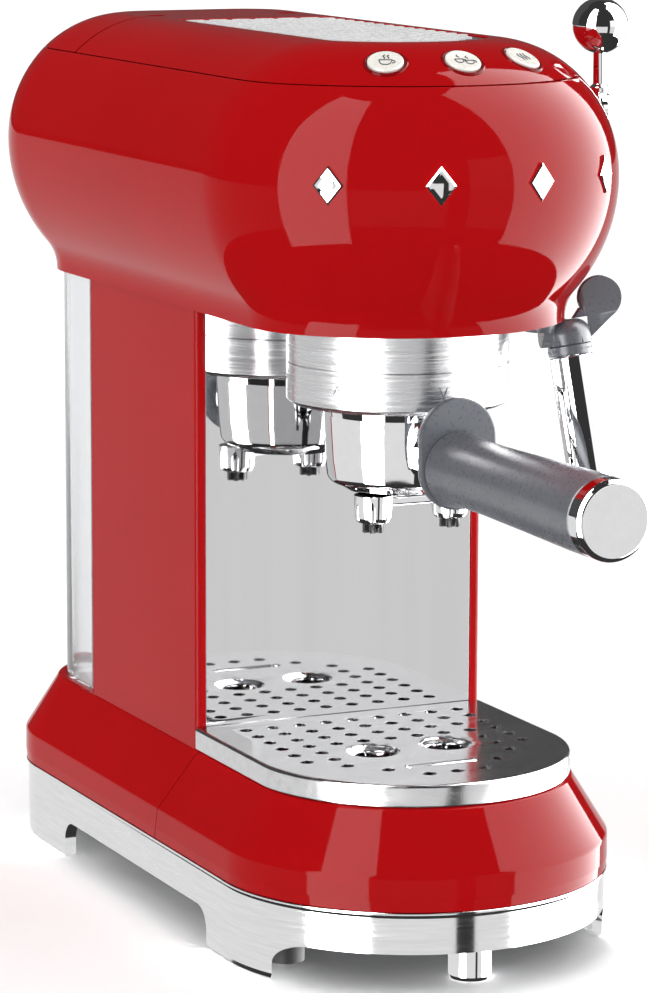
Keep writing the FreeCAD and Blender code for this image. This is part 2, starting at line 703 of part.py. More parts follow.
def make_top_cover():
    """Front part of the domed top, with the recess of the cup rest and the button holes."""
    ring = dome(dim.recess_in, dim.recess_z - dim.wall)
    floor = head_line.slab(-dim.recess_in + 0.1, dim.recess_z - dim.wall, dim.recess_z)
    bridge = behind(head_line.slab(-dim.recess_in + 0.1, dim.recess_z - dim.wall, dim.crown_z), dim.recess_rear)
    whole = ahead_of(ring.fuse([floor, bridge]), dim.cover_rear)
    holes = [placed(Part.makeCylinder(dim.button_radius + 0.25, 14.0, Vector(0, 0, -10.0)), frame)
             for frame in button_frames()]
    feature("top_cover", whole.cut(holes).removeSplitter())


def make_cup_rest():
    """Steel cup rest in the recess."""
    rest = ahead_of(head_line.slab(-dim.recess_in - 0.6, dim.recess_z + 0.05, dim.recess_z + 2.0),
                    dim.recess_rear - 0.6)
    feature("cup_rest", rest)


def make_buttons():
    """Three push buttons with stems, and the collar ring of each under the cover."""
    for index, frame in enumerate(button_frames(), start=1):
        cap = Part.makeCylinder(dim.button_radius, 3.4 + dim.button_proud, Vector(0, 0, -3.4))
        stem = Part.makeCylinder(2.5, 6.0, Vector(0, 0, -9.0))
        feature(f"button_{index}", placed(cap.fuse(stem).removeSplitter(), frame))


def make_head_floor():
    """Plate closing the head's underside ahead of the tank, on top of the column."""
    floor = ahead_of(head_line.slab(-dim.wall - 0.2, dim.head_low, dim.head_low + dim.wall), dim.column_back)
    collar = Part.makeCylinder(dim.collar_radius + 0.3, 20.0, Vector(0, dim.group_y, dim.head_low - 5.0))
    socket = Part.makeCylinder(6.3, 20.0, Vector(dim.wand_x, dim.wand_y, dim.head_low - 5.0))
    hose_hole = Part.makeCylinder(5.0, 20.0, Vector(0, dim.pump_y, dim.head_low - 5.0))
    feature("head_floor", floor.cut([collar, socket, hose_hole]))


def make_front_studs():
    """Four plain chrome lozenges on the bulge."""
    studs = []
    half_wide, half_high = 5.2, 6.5
    for step in (-1.5, -0.5, 0.5, 1.5):
        angle = -90 + step * dim.stud_step
        corners = [(0, -half_high), (half_wide, 0), (0, half_high), (-half_wide, 0)]
        wire = Part.makePolygon([Vector(0, across, up) for across, up in corners + corners[:1]])
        stud = Part.Face(wire).extrude(Vector(2.2, 0, 0))
        out = head_line.nose + dim.bulge_out - 1.0
        place = spot((0, head_line.nose_y), out, angle, dim.bulge_z + 3.0)
        stud.Placement = Placement(place, Rotation(Vector(0, 0, 1), angle))
        studs.append(stud)
    feature("front_studs", Part.makeCompound(studs))


# ---- brew group ----

def make_group():
    """Collar, casting, gasket and shower screen on the group's axis."""
    axis = {"x": "0", "y": "group_y"}
    turned("group_collar", [
        ("collar_radius - wall", "collar_low"), ("collar_radius - 1.2", "collar_low"),
        ("collar_radius", "collar_low + 1.2"), ("collar_radius", "head_low + 12"),
        ("collar_radius - wall", "head_low + 12")], **axis)
    turned("group_casting", [
        ("0", "203.2"), ("26.4", "203.2"), ("26.4", "202.0"), ("31.5", "202.0"), ("31.5", "200.0"),
        ("collar_radius - wall - 0.3", "200.0"), ("collar_radius - wall - 0.3", "228.0"), ("0", "228.0")], **axis)
    lock = Part.makeCylinder(dim.collar_radius - dim.wall - 0.3, 1.2, Vector(0, 0, 192.0))
    lock = lock.cut(Part.makeCylinder(30.6, 9.0, Vector(0, 0, 188.0)))
    entry = block((-40.0, 40.0), (-9.5, 9.5), (188.0, 199.0))
    entry.rotate(Vector(0, 0, 0), Vector(0, 0, 1), -57.0)
    lock = lock.cut(entry)
    lock.translate(Vector(0, dim.group_y, 0))
    feature("bayonet_ring", lock)
    turned("group_gasket", [("26.8", "199.2"), ("31.2", "199.2"), ("31.2", "201.9"), ("26.8", "201.9")], **axis)
    turned("shower_screen", [("0", "201.4"), ("26.0", "201.4"), ("26.0", "202.6"), ("4", "203.1"), ("0", "203.1")],
           **axis)
    turned("screen_screw", [("0", "199.8"), ("3.6", "199.8"), ("3.6", "201.3"), ("0", "201.3")], **axis)
    turned("boiler", [
        ("0", "228.2"), ("31", "228.2"), ("31", "264"), ("27", "268"), ("9", "270"), ("9", "276"), ("0", "276")],
        **axis)


def make_portafilter():
    """Bowl with bayonet lugs, and the filter basket in it."""
    axis = {"x": "0", "y": "group_y"}
    bowl = turned("bowl_turning", [
        ("0", "bowl_low"), ("bowl_foot_radius - 7", "bowl_low"), ("bowl_foot_radius - 2.6", "bowl_low + 1.6"),
        ("bowl_foot_radius - 0.4", "bowl_low + 5"), ("bowl_foot_radius + 0.2", "bowl_low + 9"),
        ("bowl_radius", "collar_low + 1"), ("bowl_radius + 2.4", "collar_low + 2.4"),
        ("bowl_radius + 2.4", "bowl_top"), ("25.2", "bowl_top"), ("23.4", "bowl_low + 12"),
        ("20", "bowl_low + 5"), ("0", "bowl_low + 4")], listed=False, **axis)
    boss = cylinder("handle_boss", "7.5", "0", ("group_y - 36", "group_y - 24.2"), "handle_z", axis="Y")
    lugs = [box(f"lug_{name}", spans, ("group_y - 8", "group_y + 8"), ("bowl_top - 4.2", "bowl_top - 0.6"))
            for name, spans in (("right", ("28", "33.4")), ("left", ("-33.4", "-28")))]
    piece("portafilter_bowl", fused("bowl_with_lugs", bowl, boss, *lugs))
    turned("filter_basket", [
        ("0", "bowl_low + 14"), ("22.6", "bowl_low + 14"), ("24.8", "bowl_top - 2"), ("24.8", "bowl_top + 0.1"),
        ("29.4", "bowl_top + 0.1"), ("29.4", "bowl_top + 1.3"), ("24.0", "bowl_top + 1.3"),
        ("21.8", "bowl_low + 14.8"), ("0", "bowl_low + 14.8")], **axis)


def make_spouts():
    """Twin spouts under the bowl and their star nozzles."""
    top = dim.bowl_low
    parts = []
    stars = []
    for sign in (-1, 1):
        place = Vector(sign * dim.spout_x, dim.group_y + dim.spout_y, dim.spout_low)
        parts.append(Part.makeCylinder(dim.spout_radius, top - dim.spout_low, place))
        star = Part.makeCylinder(2.2, dim.spout_low - dim.nozzle_low, place - Vector(0, 0, 3.5))
        for ray in range(6):
            fin = Part.makeBox(3.7, 1.6, dim.spout_low - dim.nozzle_low, Vector(0, -0.8, 0))
            fin.Placement = Placement(place - Vector(0, 0, 3.5), Rotation(Vector(0, 0, 1), ray * 60))
            star = star.fuse(fin)
        stars.append(star.removeSplitter())
    bar = block((-dim.spout_x, dim.spout_x),
                (dim.group_y + dim.spout_y - 4.0, dim.group_y + dim.spout_y + 4.0), (top - 4.0, top))
    feature("spouts", parts[0].fuse([parts[1], bar]).removeSplitter())
    feature("spout_nozzles", Part.makeCompound(stars))


def make_handle():
    """Handle pieces on one axis that points ahead from the bowl."""
    axis = {"x": "0", "y": "group_y", "z": "handle_z", "along": "-Y"}
    turned("handle_ferrule", [
        ("0", "36.1"), ("8.0", "36.1"), ("8.8", "37.5"), ("10.9", "40"), ("10.9", "guard_at - 0.2"),
        ("0", "guard_at - 0.2")], **axis)
    plate = box("guard_middle", ("-guard_half", "guard_half"),
                ("group_y - guard_at - guard_thick", "group_y - guard_at"), ("handle_z", "handle_z + guard_rise"))
    rounds = [cylinder(f"guard_{name}", "guard_half", "0",
                       ("group_y - guard_at - guard_thick", "group_y - guard_at"), height, axis="Y")
              for name, height in (("low", "handle_z"), ("high", "handle_z + guard_rise"))]
    piece("handle_guard", fused("guard_whole", plate, *rounds))
    turned("handle_grip", [
        ("0", "guard_at + guard_thick + 0.1"), ("grip_root_radius + 0.8", "guard_at + guard_thick + 0.1"),
        ("grip_root_radius", "guard_at + 9"), ("grip_root_radius - 0.4", "guard_at + 28"),
        ("grip_end_radius", "grip_end - 12"), ("grip_end_radius", "grip_end"), ("0", "grip_end")], **axis)
    turned("handle_cap", [
        ("0", "grip_end + 0.1"), ("grip_end_radius", "grip_end + 0.1"), ("grip_end_radius", "handle_end - 3"),
        ("grip_end_radius - 1.0", "handle_end - 0.6"), ("grip_end_radius - 2.0", "handle_end"),
        ("0", "handle_end")], **axis)


# ---- lever, wand ----

def make_lever():
    """Steam lever: a hub on a shaft through the head's wall, a rod and a ball."""
    turned("lever_shaft", [("0", "58"), ("3.4", "58"), ("3.4", "lever_x - 2.5"), ("0", "lever_x - 2.5")],
           y="lever_y", z="lever_z", along="X")
    turned("lever_hub", [
        ("0", "lever_x - 2.4"), ("6.0", "lever_x - 2.4"), ("6.4", "lever_x - 1.8"), ("6.4", "lever_x + 0.6"),
        ("5.4", "lever_x + 2.6"), ("3.2", "lever_x + 3.8"), ("0", "lever_x + 4.3")], y="lever_y", z="lever_z", along="X")
    piece("lever_rod", cylinder("rod_bar", "lever_rod_radius", "lever_x", "lever_y",
                                ("lever_z + 6.2", "lever_ball_z - lever_ball_radius + 0.6")))
    piece("lever_ball", ball("ball_knob", "lever_ball_radius", "lever_x", "lever_y", "lever_ball_z"))
    piece("steam_valve", fused(
        "valve_whole",
        box("valve_block", ("40", "57"), ("lever_y - 11", "lever_y + 11"), ("lever_z - 12", "lever_z + 9")),
        cylinder("valve_nose", "5", ("33", "41"), "lever_y", "lever_z", axis="X")))


def wand_frame():
    """Placement whose -Z runs down the wand from the elbow's centre."""
    centre = spot((dim.wand_x, dim.wand_y), dim.wand_reach, dim.wand_turn, dim.elbow_z)
    lean_axis = Rotation(Vector(0, 0, 1), dim.wand_lean_turn).multVec(Vector(0, -1, 0))
    return Placement(centre, Rotation(lean_axis, dim.wand_lean))


def make_wand():
    """Steam wand: socket, elbow with its tab, ring, tube, sleeve and nozzle."""
    axis_top = Vector(dim.wand_x, dim.wand_y, dim.head_low)
    socket = Part.makeCylinder(5.6, 12.0, axis_top - Vector(0, 0, 0.4))
    socket = socket.cut(Part.makeCylinder(4.1, 12.0, axis_top - Vector(0, 0, 1.0)))
    feature("wand_socket", socket)
    frame = wand_frame()

    knuckle = Part.makeCylinder(dim.elbow_radius, 8.6, Vector(0, 0, -3.2))
    top_edge = [edge for edge in knuckle.Edges if edge.BoundBox.ZMin > 5.0]
    knuckle = placed(knuckle.makeFillet(5.2, top_edge), frame)
    neck = Part.makeCylinder(4.05, 12.0, axis_top + Vector(0, 0, -4.5))
    shoulder = Part.makeCylinder(5.8, 4.0, axis_top - Vector(0, 0, 4.8))
    bridge_dir = (frame.Base - Vector(dim.wand_x, dim.wand_y, dim.elbow_z)).normalize()
    bridge = Part.makeCylinder(5.0, dim.wand_reach, Vector(dim.wand_x, dim.wand_y, dim.elbow_z + 0.6), bridge_dir)
    below = placed(Part.makeCylinder(30.0, 20.0, Vector(0, 0, -23.2)), frame)
    elbow = knuckle.fuse([neck, shoulder, bridge.cut(below)]).removeSplitter()
    feature("wand_elbow", elbow)
    tab_turn = Rotation(Vector(0, 0, 1), dim.wand_turn)
    lobe = Part.makeCylinder(7.6, 3.6, Vector(0, 0, -1.8), Vector(0, 0, 1))
    lobe.Placement = Placement(Vector(20.6, 0, 227.0), Rotation(Vector(1, 0, 0), 90))
    arm_face = Part.Face(Part.makePolygon([
        Vector(20.5, -1.8, 219.8), Vector(13.6, -1.8, 223.4), Vector(11.0, -1.8, 219.4),
        Vector(16.4, -1.8, 212.4), Vector(27.0, -1.8, 222.8), Vector(20.5, -1.8, 219.8)]))
    tab = lobe.fuse(arm_face.extrude(Vector(0, 3.6, 0)))
    tab.Placement = Placement(Vector(dim.wand_x, dim.wand_y, 0), tab_turn)
    knuckle_space = placed(Part.makeCylinder(dim.elbow_radius + 0.06, 10.0, Vector(0, 0, -4.5)), frame)
    feature("wand_tab", tab.cut(knuckle_space).removeSplitter())
    ring_low = -6.9
    ring = Part.makeCylinder(dim.sleeve_radius + 0.1, 3.6, Vector(0, 0, ring_low))
    feature("wand_ring", placed(ring.cut(Part.makeCylinder(3.1, 9.0, Vector(0, 0, ring_low - 2.0))), frame))
    tube_end = ring_low - dim.sleeve_length + 2.0
    tube = Part.makeCylinder(3.0, -3.25 - tube_end, Vector(0, 0, tube_end))
    feature("wand_tube", placed(tube.cut(Part.makeCylinder(1.6, 100.0, Vector(0, 0, tube_end - 1.0))), frame))
    top = ring_low - 0.3
    sleeve = Part.makeCylinder(dim.sleeve_radius, dim.sleeve_length, Vector(0, 0, top - dim.sleeve_length))
    bore = Part.makeCylinder(dim.sleeve_radius - 1.2, dim.sleeve_length, Vector(0, 0, top - dim.sleeve_length + 2.0))
    guide = Part.makeCylinder(dim.sleeve_radius - 0.6, 3.0, Vector(0, 0, top - 12.0))
    sleeve = sleeve.cut(bore).fuse(guide)
    sleeve = sleeve.cut(Part.makeCylinder(3.06, 200.0, Vector(0, 0, -150.0)))
    feature("wand_sleeve", placed(sleeve.removeSplitter(), frame))


# ---- water and electrics ----

def make_tank():
    """Clear water tank with ears for the lid's pin, its valve and the seat under it."""
    half, front, rear, corner = dim.tank_half, dim.tank_front, dim.tank_rear, dim.tank_corner

    def prism(inset, low, high):
        body = block((inset - half, half - inset), (front + inset, rear - inset), (low, high))
        upright = [edge for edge in body.Edges if edge.BoundBox.ZLength > 1 and edge.BoundBox.YMin > front + 10]
        near = [edge for edge in body.Edges if edge.BoundBox.ZLength > 1 and edge.BoundBox.YMin < front + 10]
        return body.makeFillet(corner - inset, upright).makeFillet(5.0 - inset, near)

    wall = dim.tank_wall
    tank = prism(0.0, dim.tank_low, dim.tank_high).cut(prism(wall, dim.tank_low + wall, dim.tank_high + 5.0))
    ears = []
    for sign in (-1, 1):
        side = sorted((sign * 24.0, sign * 28.0))
        web = block(side, (front, dim.lid_axis_y + 1.9), (dim.tank_high - 12.0, dim.lid_axis_z))
        eye = Part.makeCylinder(1.9, 4.0, Vector(side[0], dim.lid_axis_y, dim.lid_axis_z), Vector(1, 0, 0))
        ears += [web, eye]
    pin_hole = Part.makeCylinder(1.0, 80.0, Vector(-40.0, dim.lid_axis_y, dim.lid_axis_z), Vector(1, 0, 0))
    valve_hole = Part.makeCylinder(5.0, 20.0, Vector(0, dim.valve_y, dim.tank_low - 5.0))
    feature("water_tank", tank.fuse(ears).cut([pin_hole, valve_hole]).removeSplitter())
    feature("lid_pin", Part.makeCylinder(0.99, 60.0, Vector(-30.0, dim.lid_axis_y, dim.lid_axis_z),
                                         Vector(1, 0, 0)))
    valve = {"y": "valve_y"}
    turned("tank_valve", [
        ("0", "tank_low - 7"), ("4.4", "tank_low - 7"), ("4.95", "tank_low - 5"), ("4.95", "tank_low + 2.1"),
        ("8", "tank_low + 2.1"), ("8", "tank_low + 5"), ("0", "tank_low + 9")], **valve)
    turned("tank_seat", [
        ("5.3", "47"), ("8.6", "47"), ("8.6", "57.2"), ("11", "57.2"), ("11", "55"), ("12.5", "55"), ("12.5", "44"),
        ("0", "44"), ("0", "47")], **valve)


def make_tank_lid():
    """Rear part of the domed top, hinged on the tank."""
    inner = 24.0
    crown_z = crown_height(-inner)
    ring = dome(inner, crown_z - dim.wall)
    cap = head_line.slab(-inner + 0.1, crown_z - dim.wall, crown_z)
    lid = behind(ring.fuse(cap), dim.lid_front)
    barrels = []
    notches = []
    for sign in (-1, 1):
        side = sorted((sign * 14.0, sign * 23.6))
        span = side[1] - side[0]
        barrels.append(Part.makeCylinder(2.3, span, Vector(side[0], dim.lid_axis_y, dim.lid_axis_z),
                                         Vector(1, 0, 0)))
        notches.append(block(sorted((sign * 23.6, sign * 30.4)), (dim.lid_front - 1, dim.lid_axis_y + 5.2),
                             (dim.lid_axis_z - 4.0, dim.lid_axis_z + 6.0)))
    pin_hole = Part.makeCylinder(1.05, 80.0, Vector(-40.0, dim.lid_axis_y, dim.lid_axis_z), Vector(1, 0, 0))
    feature("tank_lid", lid.fuse(barrels).cut(notches + [pin_hole]).removeSplitter())


def bent_tube(points, radius, bend):
    """Solid hose along straight runs joined by arcs of one bend radius."""
    edges = []
    spots = [Vector(*point) for point in points]
    start = spots[0]
    for before, corner, after in zip(spots, spots[1:], spots[2:]):
        one = (before - corner).normalize()
        two = (after - corner).normalize()
        half_turn = one.getAngle(two) / 2
        back = bend / math.tan(half_turn)
        enter = corner + one * back
        leave = corner + two * back
        middle = corner + (one + two).normalize() * (bend / math.sin(half_turn) - bend)
        edges += [Part.makeLine(start, enter), Part.Arc(enter, middle, leave).toShape()]
        start = leave
    edges.append(Part.makeLine(start, spots[-1]))
    path = Part.Wire(edges)
    direction = (spots[1] - spots[0]).normalize()
    circle = Part.Wire([Part.Circle(spots[0], direction, radius).toShape()])
    return path.makePipeShell([circle], True, False)


def make_water_works():
    """Pump on its rubber mounts, hoses, and the flow to the boiler."""
    pump = fused(
        "pump_whole",
        box("pump_coil", ("-20", "20"), ("pump_y - 18", "pump_y + 18"), ("96", "136")),
        cylinder("pump_barrel", "9", "0", "pump_y", ("76", "162")))
    piece("pump", pump)
    mounts = [Part.makeCylinder(5.0, 35.5, Vector(sign * 15.0, dim.pump_y, 60.3)) for sign in (-1, 1)]
    feature("pump_mounts", Part.makeCompound(mounts))
    low, high = 33.8, 285.0
    suction = bent_tube([(0, dim.valve_y, 44.0), (0, dim.valve_y, low), (0, dim.pump_y, low),
                         (0, dim.pump_y, 76.0)], 3.5, 8.0)
    delivery = bent_tube([(0, dim.pump_y, 162.0), (0, dim.pump_y, high), (0, dim.group_y, high),
                          (0, dim.group_y, 276.0)], 3.0, 8.0)
    feature("hoses", Part.makeCompound([suction, delivery]))


def make_electrics():
    """Control board under the buttons, rear switch and cord inlet."""
    piece("control_board", box("board_sheet", ("-38", "38"), ("-80", "-20"), ("297", "298.6")))
    piece("switch_housing", cut(
        "switch_body",
        box("switch_block", ("22.3", "43.7"), ("164", "180.2"), ("rear_port_z - 5.4", "rear_port_z + 5.4")),
        box("switch_space", ("24", "42"), ("166", "190"), ("rear_port_z - 4.4", "rear_port_z + 4.4"))))
    rocker = doc.addObject("Part::MultiCommon", "rocker_common")
    rocker.Shapes = [
        cylinder("rocker_round", "6.5", ("24.3", "41.7"), "174.6", "rear_port_z", axis="X"),
        box("rocker_keep", ("24", "42"), ("172.6", "182"), ("rear_port_z - 3.8", "rear_port_z + 3.8"))]
    piece("power_rocker", rocker)
    turned("cord_inlet", [
        ("2.6", "0"), ("7.6", "0"), ("7.6", "2"), ("6.2", "2"), ("6.2", "9"), ("2.6", "9")],
        x="-33", y="182.5", z="rear_port_z", along="-Y")


make_base_ring()
make_feet()
make_base_floor()
make_base_frame()
make_base_housing()
make_tray()
make_drip_plate()
make_float()
make_column()
make_head_shell()
make_top_cover()
make_cup_rest()
make_buttons()
make_head_floor()
make_front_studs()
make_group()
make_portafilter()
make_spouts()
make_handle()
make_lever()
make_wand()
make_tank()
make_tank_lid()
make_water_works()
make_electrics()
doc.recompute()

faults = [item.Label for item in doc.Objects if set(item.State) & {"Invalid", "Error"}]
for item in PIECES:
    if item.Shape.isNull() or not item.Shape.isValid() or not item.Shape.Solids:
        faults.append(item.Label + " (shape)")
if faults:
    raise RuntimeError("failed objects: " + ", ".join(faults))

os.makedirs("parts", exist_ok=True)
whole = FreeCAD.BoundBox()
for item in PIECES:
    item.Shape.exportStep(os.path.join("parts", item.Label + ".step"))
    whole.add(item.Shape.BoundBox)
print(len(PIECES), "pieces, box", whole)
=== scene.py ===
"""Retro espresso machine: the finished shells, fittings and materials around its fixed frame of parts."""

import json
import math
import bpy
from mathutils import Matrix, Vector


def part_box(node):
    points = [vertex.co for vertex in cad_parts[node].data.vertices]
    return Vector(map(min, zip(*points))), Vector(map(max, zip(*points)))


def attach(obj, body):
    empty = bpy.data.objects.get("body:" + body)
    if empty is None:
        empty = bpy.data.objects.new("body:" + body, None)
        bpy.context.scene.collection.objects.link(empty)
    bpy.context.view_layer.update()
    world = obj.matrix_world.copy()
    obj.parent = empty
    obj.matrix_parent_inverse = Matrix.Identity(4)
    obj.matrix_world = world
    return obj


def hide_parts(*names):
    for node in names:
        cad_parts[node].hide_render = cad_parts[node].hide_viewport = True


bl_info = {
    "name": "Retro Espresso Machine",
    "version": (1, 0, 0),
    "blender": (4, 5, 0),
    "location": "3D View > Sidebar > Espresso",
    "description": "Builds the shells, steel fittings, handles and studio of a retro espresso machine",
    "category": "Add Mesh",
}

from functools import partial

import bmesh
import bpy
from bpy.props import FloatProperty, FloatVectorProperty, PointerProperty
from mathutils import Matrix, Vector

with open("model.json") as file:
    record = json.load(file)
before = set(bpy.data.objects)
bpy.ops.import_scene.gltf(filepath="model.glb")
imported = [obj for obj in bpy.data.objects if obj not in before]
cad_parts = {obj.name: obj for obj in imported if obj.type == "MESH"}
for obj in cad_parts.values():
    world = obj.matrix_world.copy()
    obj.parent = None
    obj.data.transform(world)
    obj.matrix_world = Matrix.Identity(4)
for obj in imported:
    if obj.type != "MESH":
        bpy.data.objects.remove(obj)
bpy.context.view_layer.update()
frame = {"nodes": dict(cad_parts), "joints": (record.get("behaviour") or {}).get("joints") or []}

MM = 0.001
MID_X = (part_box("column_shell")[0].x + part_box("column_shell")[1].x) / 2
FACE_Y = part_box("splash_panel")[0].y
GROUP = Vector(((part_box("group_collar")[0].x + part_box("group_collar")[1].x) / 2,
                (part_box("group_collar")[0].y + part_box("group_collar")[1].y) / 2, 0))

HANDLE = GROUP + Vector((0, 0, 174.6 * MM))


def at(x, y, z):
    """A point given in millimetres from the column's face, middle and the floor."""
    return Vector((MID_X + x * MM, FACE_Y + y * MM, z * MM))


def middle_of(node):
    """Middle of a CAD node's box."""
    low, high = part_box(node)
    return (low + high) / 2


# ---------------------------------------------------------------- sizes and colours

def length(name, description, value):
    return FloatProperty(name=name, description=description, default=value, unit="LENGTH", precision=4)


def paint(name, description, value):
    return FloatVectorProperty(name=name, description=description, default=value, subtype="COLOR", size=3,
                               min=0.0, max=1.0)


class MachineSizes(bpy.types.PropertyGroup):
    """Driving sizes of the shells, in metres"""
    base_half: length("Base half width", "Half width of the drip plate and base outline", 0.057)
    base_front: length("Base front", "Front of the base outline ahead of the column", 0.1138)
    base_corner: length("Base corner", "Front corner radius of the base outline", 0.046)
    base_depth: length("Base nose depth", "Length of the rounded front of the base", 0.055)
    base_rear: length("Base rear", "Rear of the base outline behind the column face", 0.167)
    head_half: length("Head half width", "Half width of the head's lower edge", 0.0575)
    head_front: length("Head front", "Front of the head's lower edge ahead of the column", 0.1015)
    head_corner: length("Head corner", "Front corner radius of the head", 0.044)
    head_depth: length("Head nose depth", "Length of the head's rounded front", 0.0505)
    head_rear: length("Head rear", "Rear of the head's lower edge behind the column face", 0.165)
    rear_corner: length("Rear corner", "Corner radius at the rear", 0.040)
    bulge_out: length("Bulge", "Widest reach of the head outside its lower edge", 0.0181)
    bulge_height: length("Bulge height", "Height of the head's widest line", 0.270)
    low_radius: length("Lower curve", "Profile radius under the widest line", 0.060)
    high_radius: length("Upper curve", "Profile radius above the widest line", 0.049)
    flare_angle: FloatProperty(name="Flare angle", description="Where the hollow flare meets the bulge",
                               default=math.radians(40.5), subtype="ANGLE")
    head_low: length("Head lower edge", "Height of the head's lower edge", 0.2204)
    seam_height: length("Cover seam", "Height of the seam between head and top cover", 0.3045)
    wall: length("Shell", "Thickness of the painted shells", 0.0025)
    detail: length("Mesh step", "Length of one mesh step along an outline", 0.0022)


class MachineColours(bpy.types.PropertyGroup):
    """Colours of the finishes, linear"""
    enamel: paint("Enamel", "Glossy paint of the shells", (0.385, 0.0042, 0.0056))
    enamel_deep: paint("Deep enamel", "Darker paint of the button rings", (0.20, 0.004, 0.006))
    slate: paint("Slate plastic", "Handle, guard and wand elbow", (0.118, 0.126, 0.142))
    cream: paint("Button cream", "Push button caps", (0.80, 0.78, 0.72))
    steel: paint("Brushed steel", "Collar and drip plate", (0.62, 0.62, 0.63))
    chrome: paint("Chrome", "Polished fittings", (0.80, 0.80, 0.81))
    cup_rest: paint("Cup rest", "Embossed cup rest", (0.86, 0.86, 0.86))


class StageSizes(bpy.types.PropertyGroup):
    """Camera and studio"""
    camera_place: FloatVectorProperty(name="Camera place", description="Camera from the column's face",
                                      default=(-0.610, -1.311, 0.402), subtype="TRANSLATION")
    camera_yaw: FloatProperty(name="Camera yaw", description="Turn of the view to the right",
                              default=math.radians(24.73), subtype="ANGLE")
    camera_pitch: FloatProperty(name="Camera pitch", description="Tilt of the view down",
                                default=math.radians(9.89), subtype="ANGLE")
    camera_roll: FloatProperty(name="Camera roll", description="Roll of the view",
                               default=math.radians(0.17), subtype="ANGLE")
    lens: FloatProperty(name="Lens", description="Focal length in millimetres", default=147.8, min=10.0)
    floor_grey: FloatProperty(name="Floor", description="Brightness of the floor", default=0.9, min=0, max=1,
                              subtype="FACTOR")
    room_light: FloatProperty(name="Room light", description="Soft light from every side",
                              default=1.08, min=0.0)
    room_dark: FloatProperty(name="Dark part", description="Brightness reflected between the lit parts",
                             default=0.04, min=0.0)


def sizes():
    return bpy.context.scene.machine_sizes


def colours():
    return bpy.context.scene.machine_colours


# ---------------------------------------------------------------- materials

def shader(name):
    """New node material with its shader and an Object coordinate node."""
    material = bpy.data.materials.new(name)
    material.use_nodes = True
    nodes = material.node_tree.nodes
    coords = nodes.new("ShaderNodeTexCoord")
    return material, nodes, material.node_tree.links, nodes["Principled BSDF"], coords


def noise(nodes, links, source, scale, stretch=(1, 1, 1), detail=4.0, roughness=0.55):
    """Noise texture on a coordinate, stretched along its axes."""
    mapping = nodes.new("ShaderNodeMapping")
    mapping.inputs["Scale"].default_value = stretch
    texture = nodes.new("ShaderNodeTexNoise")
    texture.inputs["Scale"].default_value = scale
    texture.inputs["Detail"].default_value = detail
    texture.inputs["Roughness"].default_value = roughness
    links.new(source, mapping.inputs["Vector"])
    links.new(mapping.outputs["Vector"], texture.inputs["Vector"])
    return texture.outputs["Fac"]


def ramp(nodes, links, value, low, high, start=0.3, end=0.7):
    """Colour ramp between two colours over part of the value's range."""
    band = nodes.new("ShaderNodeValToRGB")
    band.color_ramp.elements[0].position = start
    band.color_ramp.elements[0].color = (*low, 1)
    band.color_ramp.elements[1].position = end
    band.color_ramp.elements[1].color = (*high, 1)
    links.new(value, band.inputs["Fac"])
    return band.outputs["Color"]


def spread(nodes, links, value, low, high):
    """The noise value's middle part mapped to a range, for roughness."""
    reach = nodes.new("ShaderNodeMapRange")
    reach.inputs["From Min"].default_value = 0.3
    reach.inputs["From Max"].default_value = 0.7
    reach.inputs["To Min"].default_value = low
    reach.inputs["To Max"].default_value = high
    links.new(value, reach.inputs["Value"])
    return reach.outputs["Result"]


def bump(nodes, links, value, bsdf, strength, distance):
    """Relief from a value, as high as distance in metres."""
    relief = nodes.new("ShaderNodeBump")
    relief.inputs["Strength"].default_value = strength
    relief.inputs["Distance"].default_value = distance
    links.new(value, relief.inputs["Height"])
    links.new(relief.outputs["Normal"], bsdf.inputs["Normal"])


def maths(nodes, links, operation, *values):
    """Result of a Math node, whose values are numbers or other nodes' outputs."""
    node = nodes.new("ShaderNodeMath")
    node.operation = operation
    for socket, value in zip(node.inputs, values):
        if isinstance(value, (int, float)):
            socket.default_value = value
        else:
            links.new(value, socket)
    return node.outputs["Value"]


def tinted(colour, factor):
    """The colour made lighter or darker, up to white."""
    return tuple(min(1.0, channel * factor) for channel in colour)


def enamel(name, colour, rough=0.045):
    """Glossy baked paint with a trace of orange peel."""
    material, nodes, links, bsdf, coords = shader(name)
    cloud = noise(nodes, links, coords.outputs["Object"], 9.0, detail=3.0)
    tone = ramp(nodes, links, cloud, tinted(colour, 0.95), tinted(colour, 1.04))
    links.new(tone, bsdf.inputs["Base Color"])
    bsdf.inputs["IOR"].default_value = 1.30
    bsdf.inputs["Specular IOR Level"].default_value = 0.14
    grain = noise(nodes, links, coords.outputs["Object"], 420.0, detail=2.0)
    links.new(spread(nodes, links, grain, rough - 0.015, rough + 0.02), bsdf.inputs["Roughness"])
    peel = noise(nodes, links, coords.outputs["Object"], 160.0, detail=1.0)
    bump(nodes, links, peel, bsdf, 0.008, 0.0002)
    return material


def metal(name, colour, rough, swing, scale, stretch, relief=0.03, from_map=False, variation=0.06):
    """Metal with fine streaks along one way; from_map takes the piece's own UV map."""
    material, nodes, links, bsdf, coords = shader(name)
    source = coords.outputs["UV" if from_map else "Object"]
    streaks = noise(nodes, links, source, scale, stretch, detail=5.0)
    tone = ramp(nodes, links, streaks, tinted(colour, 1 - variation), tinted(colour, 1 + variation))
    links.new(tone, bsdf.inputs["Base Color"])
    bsdf.inputs["Metallic"].default_value = 1.0
    links.new(spread(nodes, links, streaks, rough - swing, rough + swing), bsdf.inputs["Roughness"])
    bump(nodes, links, streaks, bsdf, relief, 0.0002)
    return material


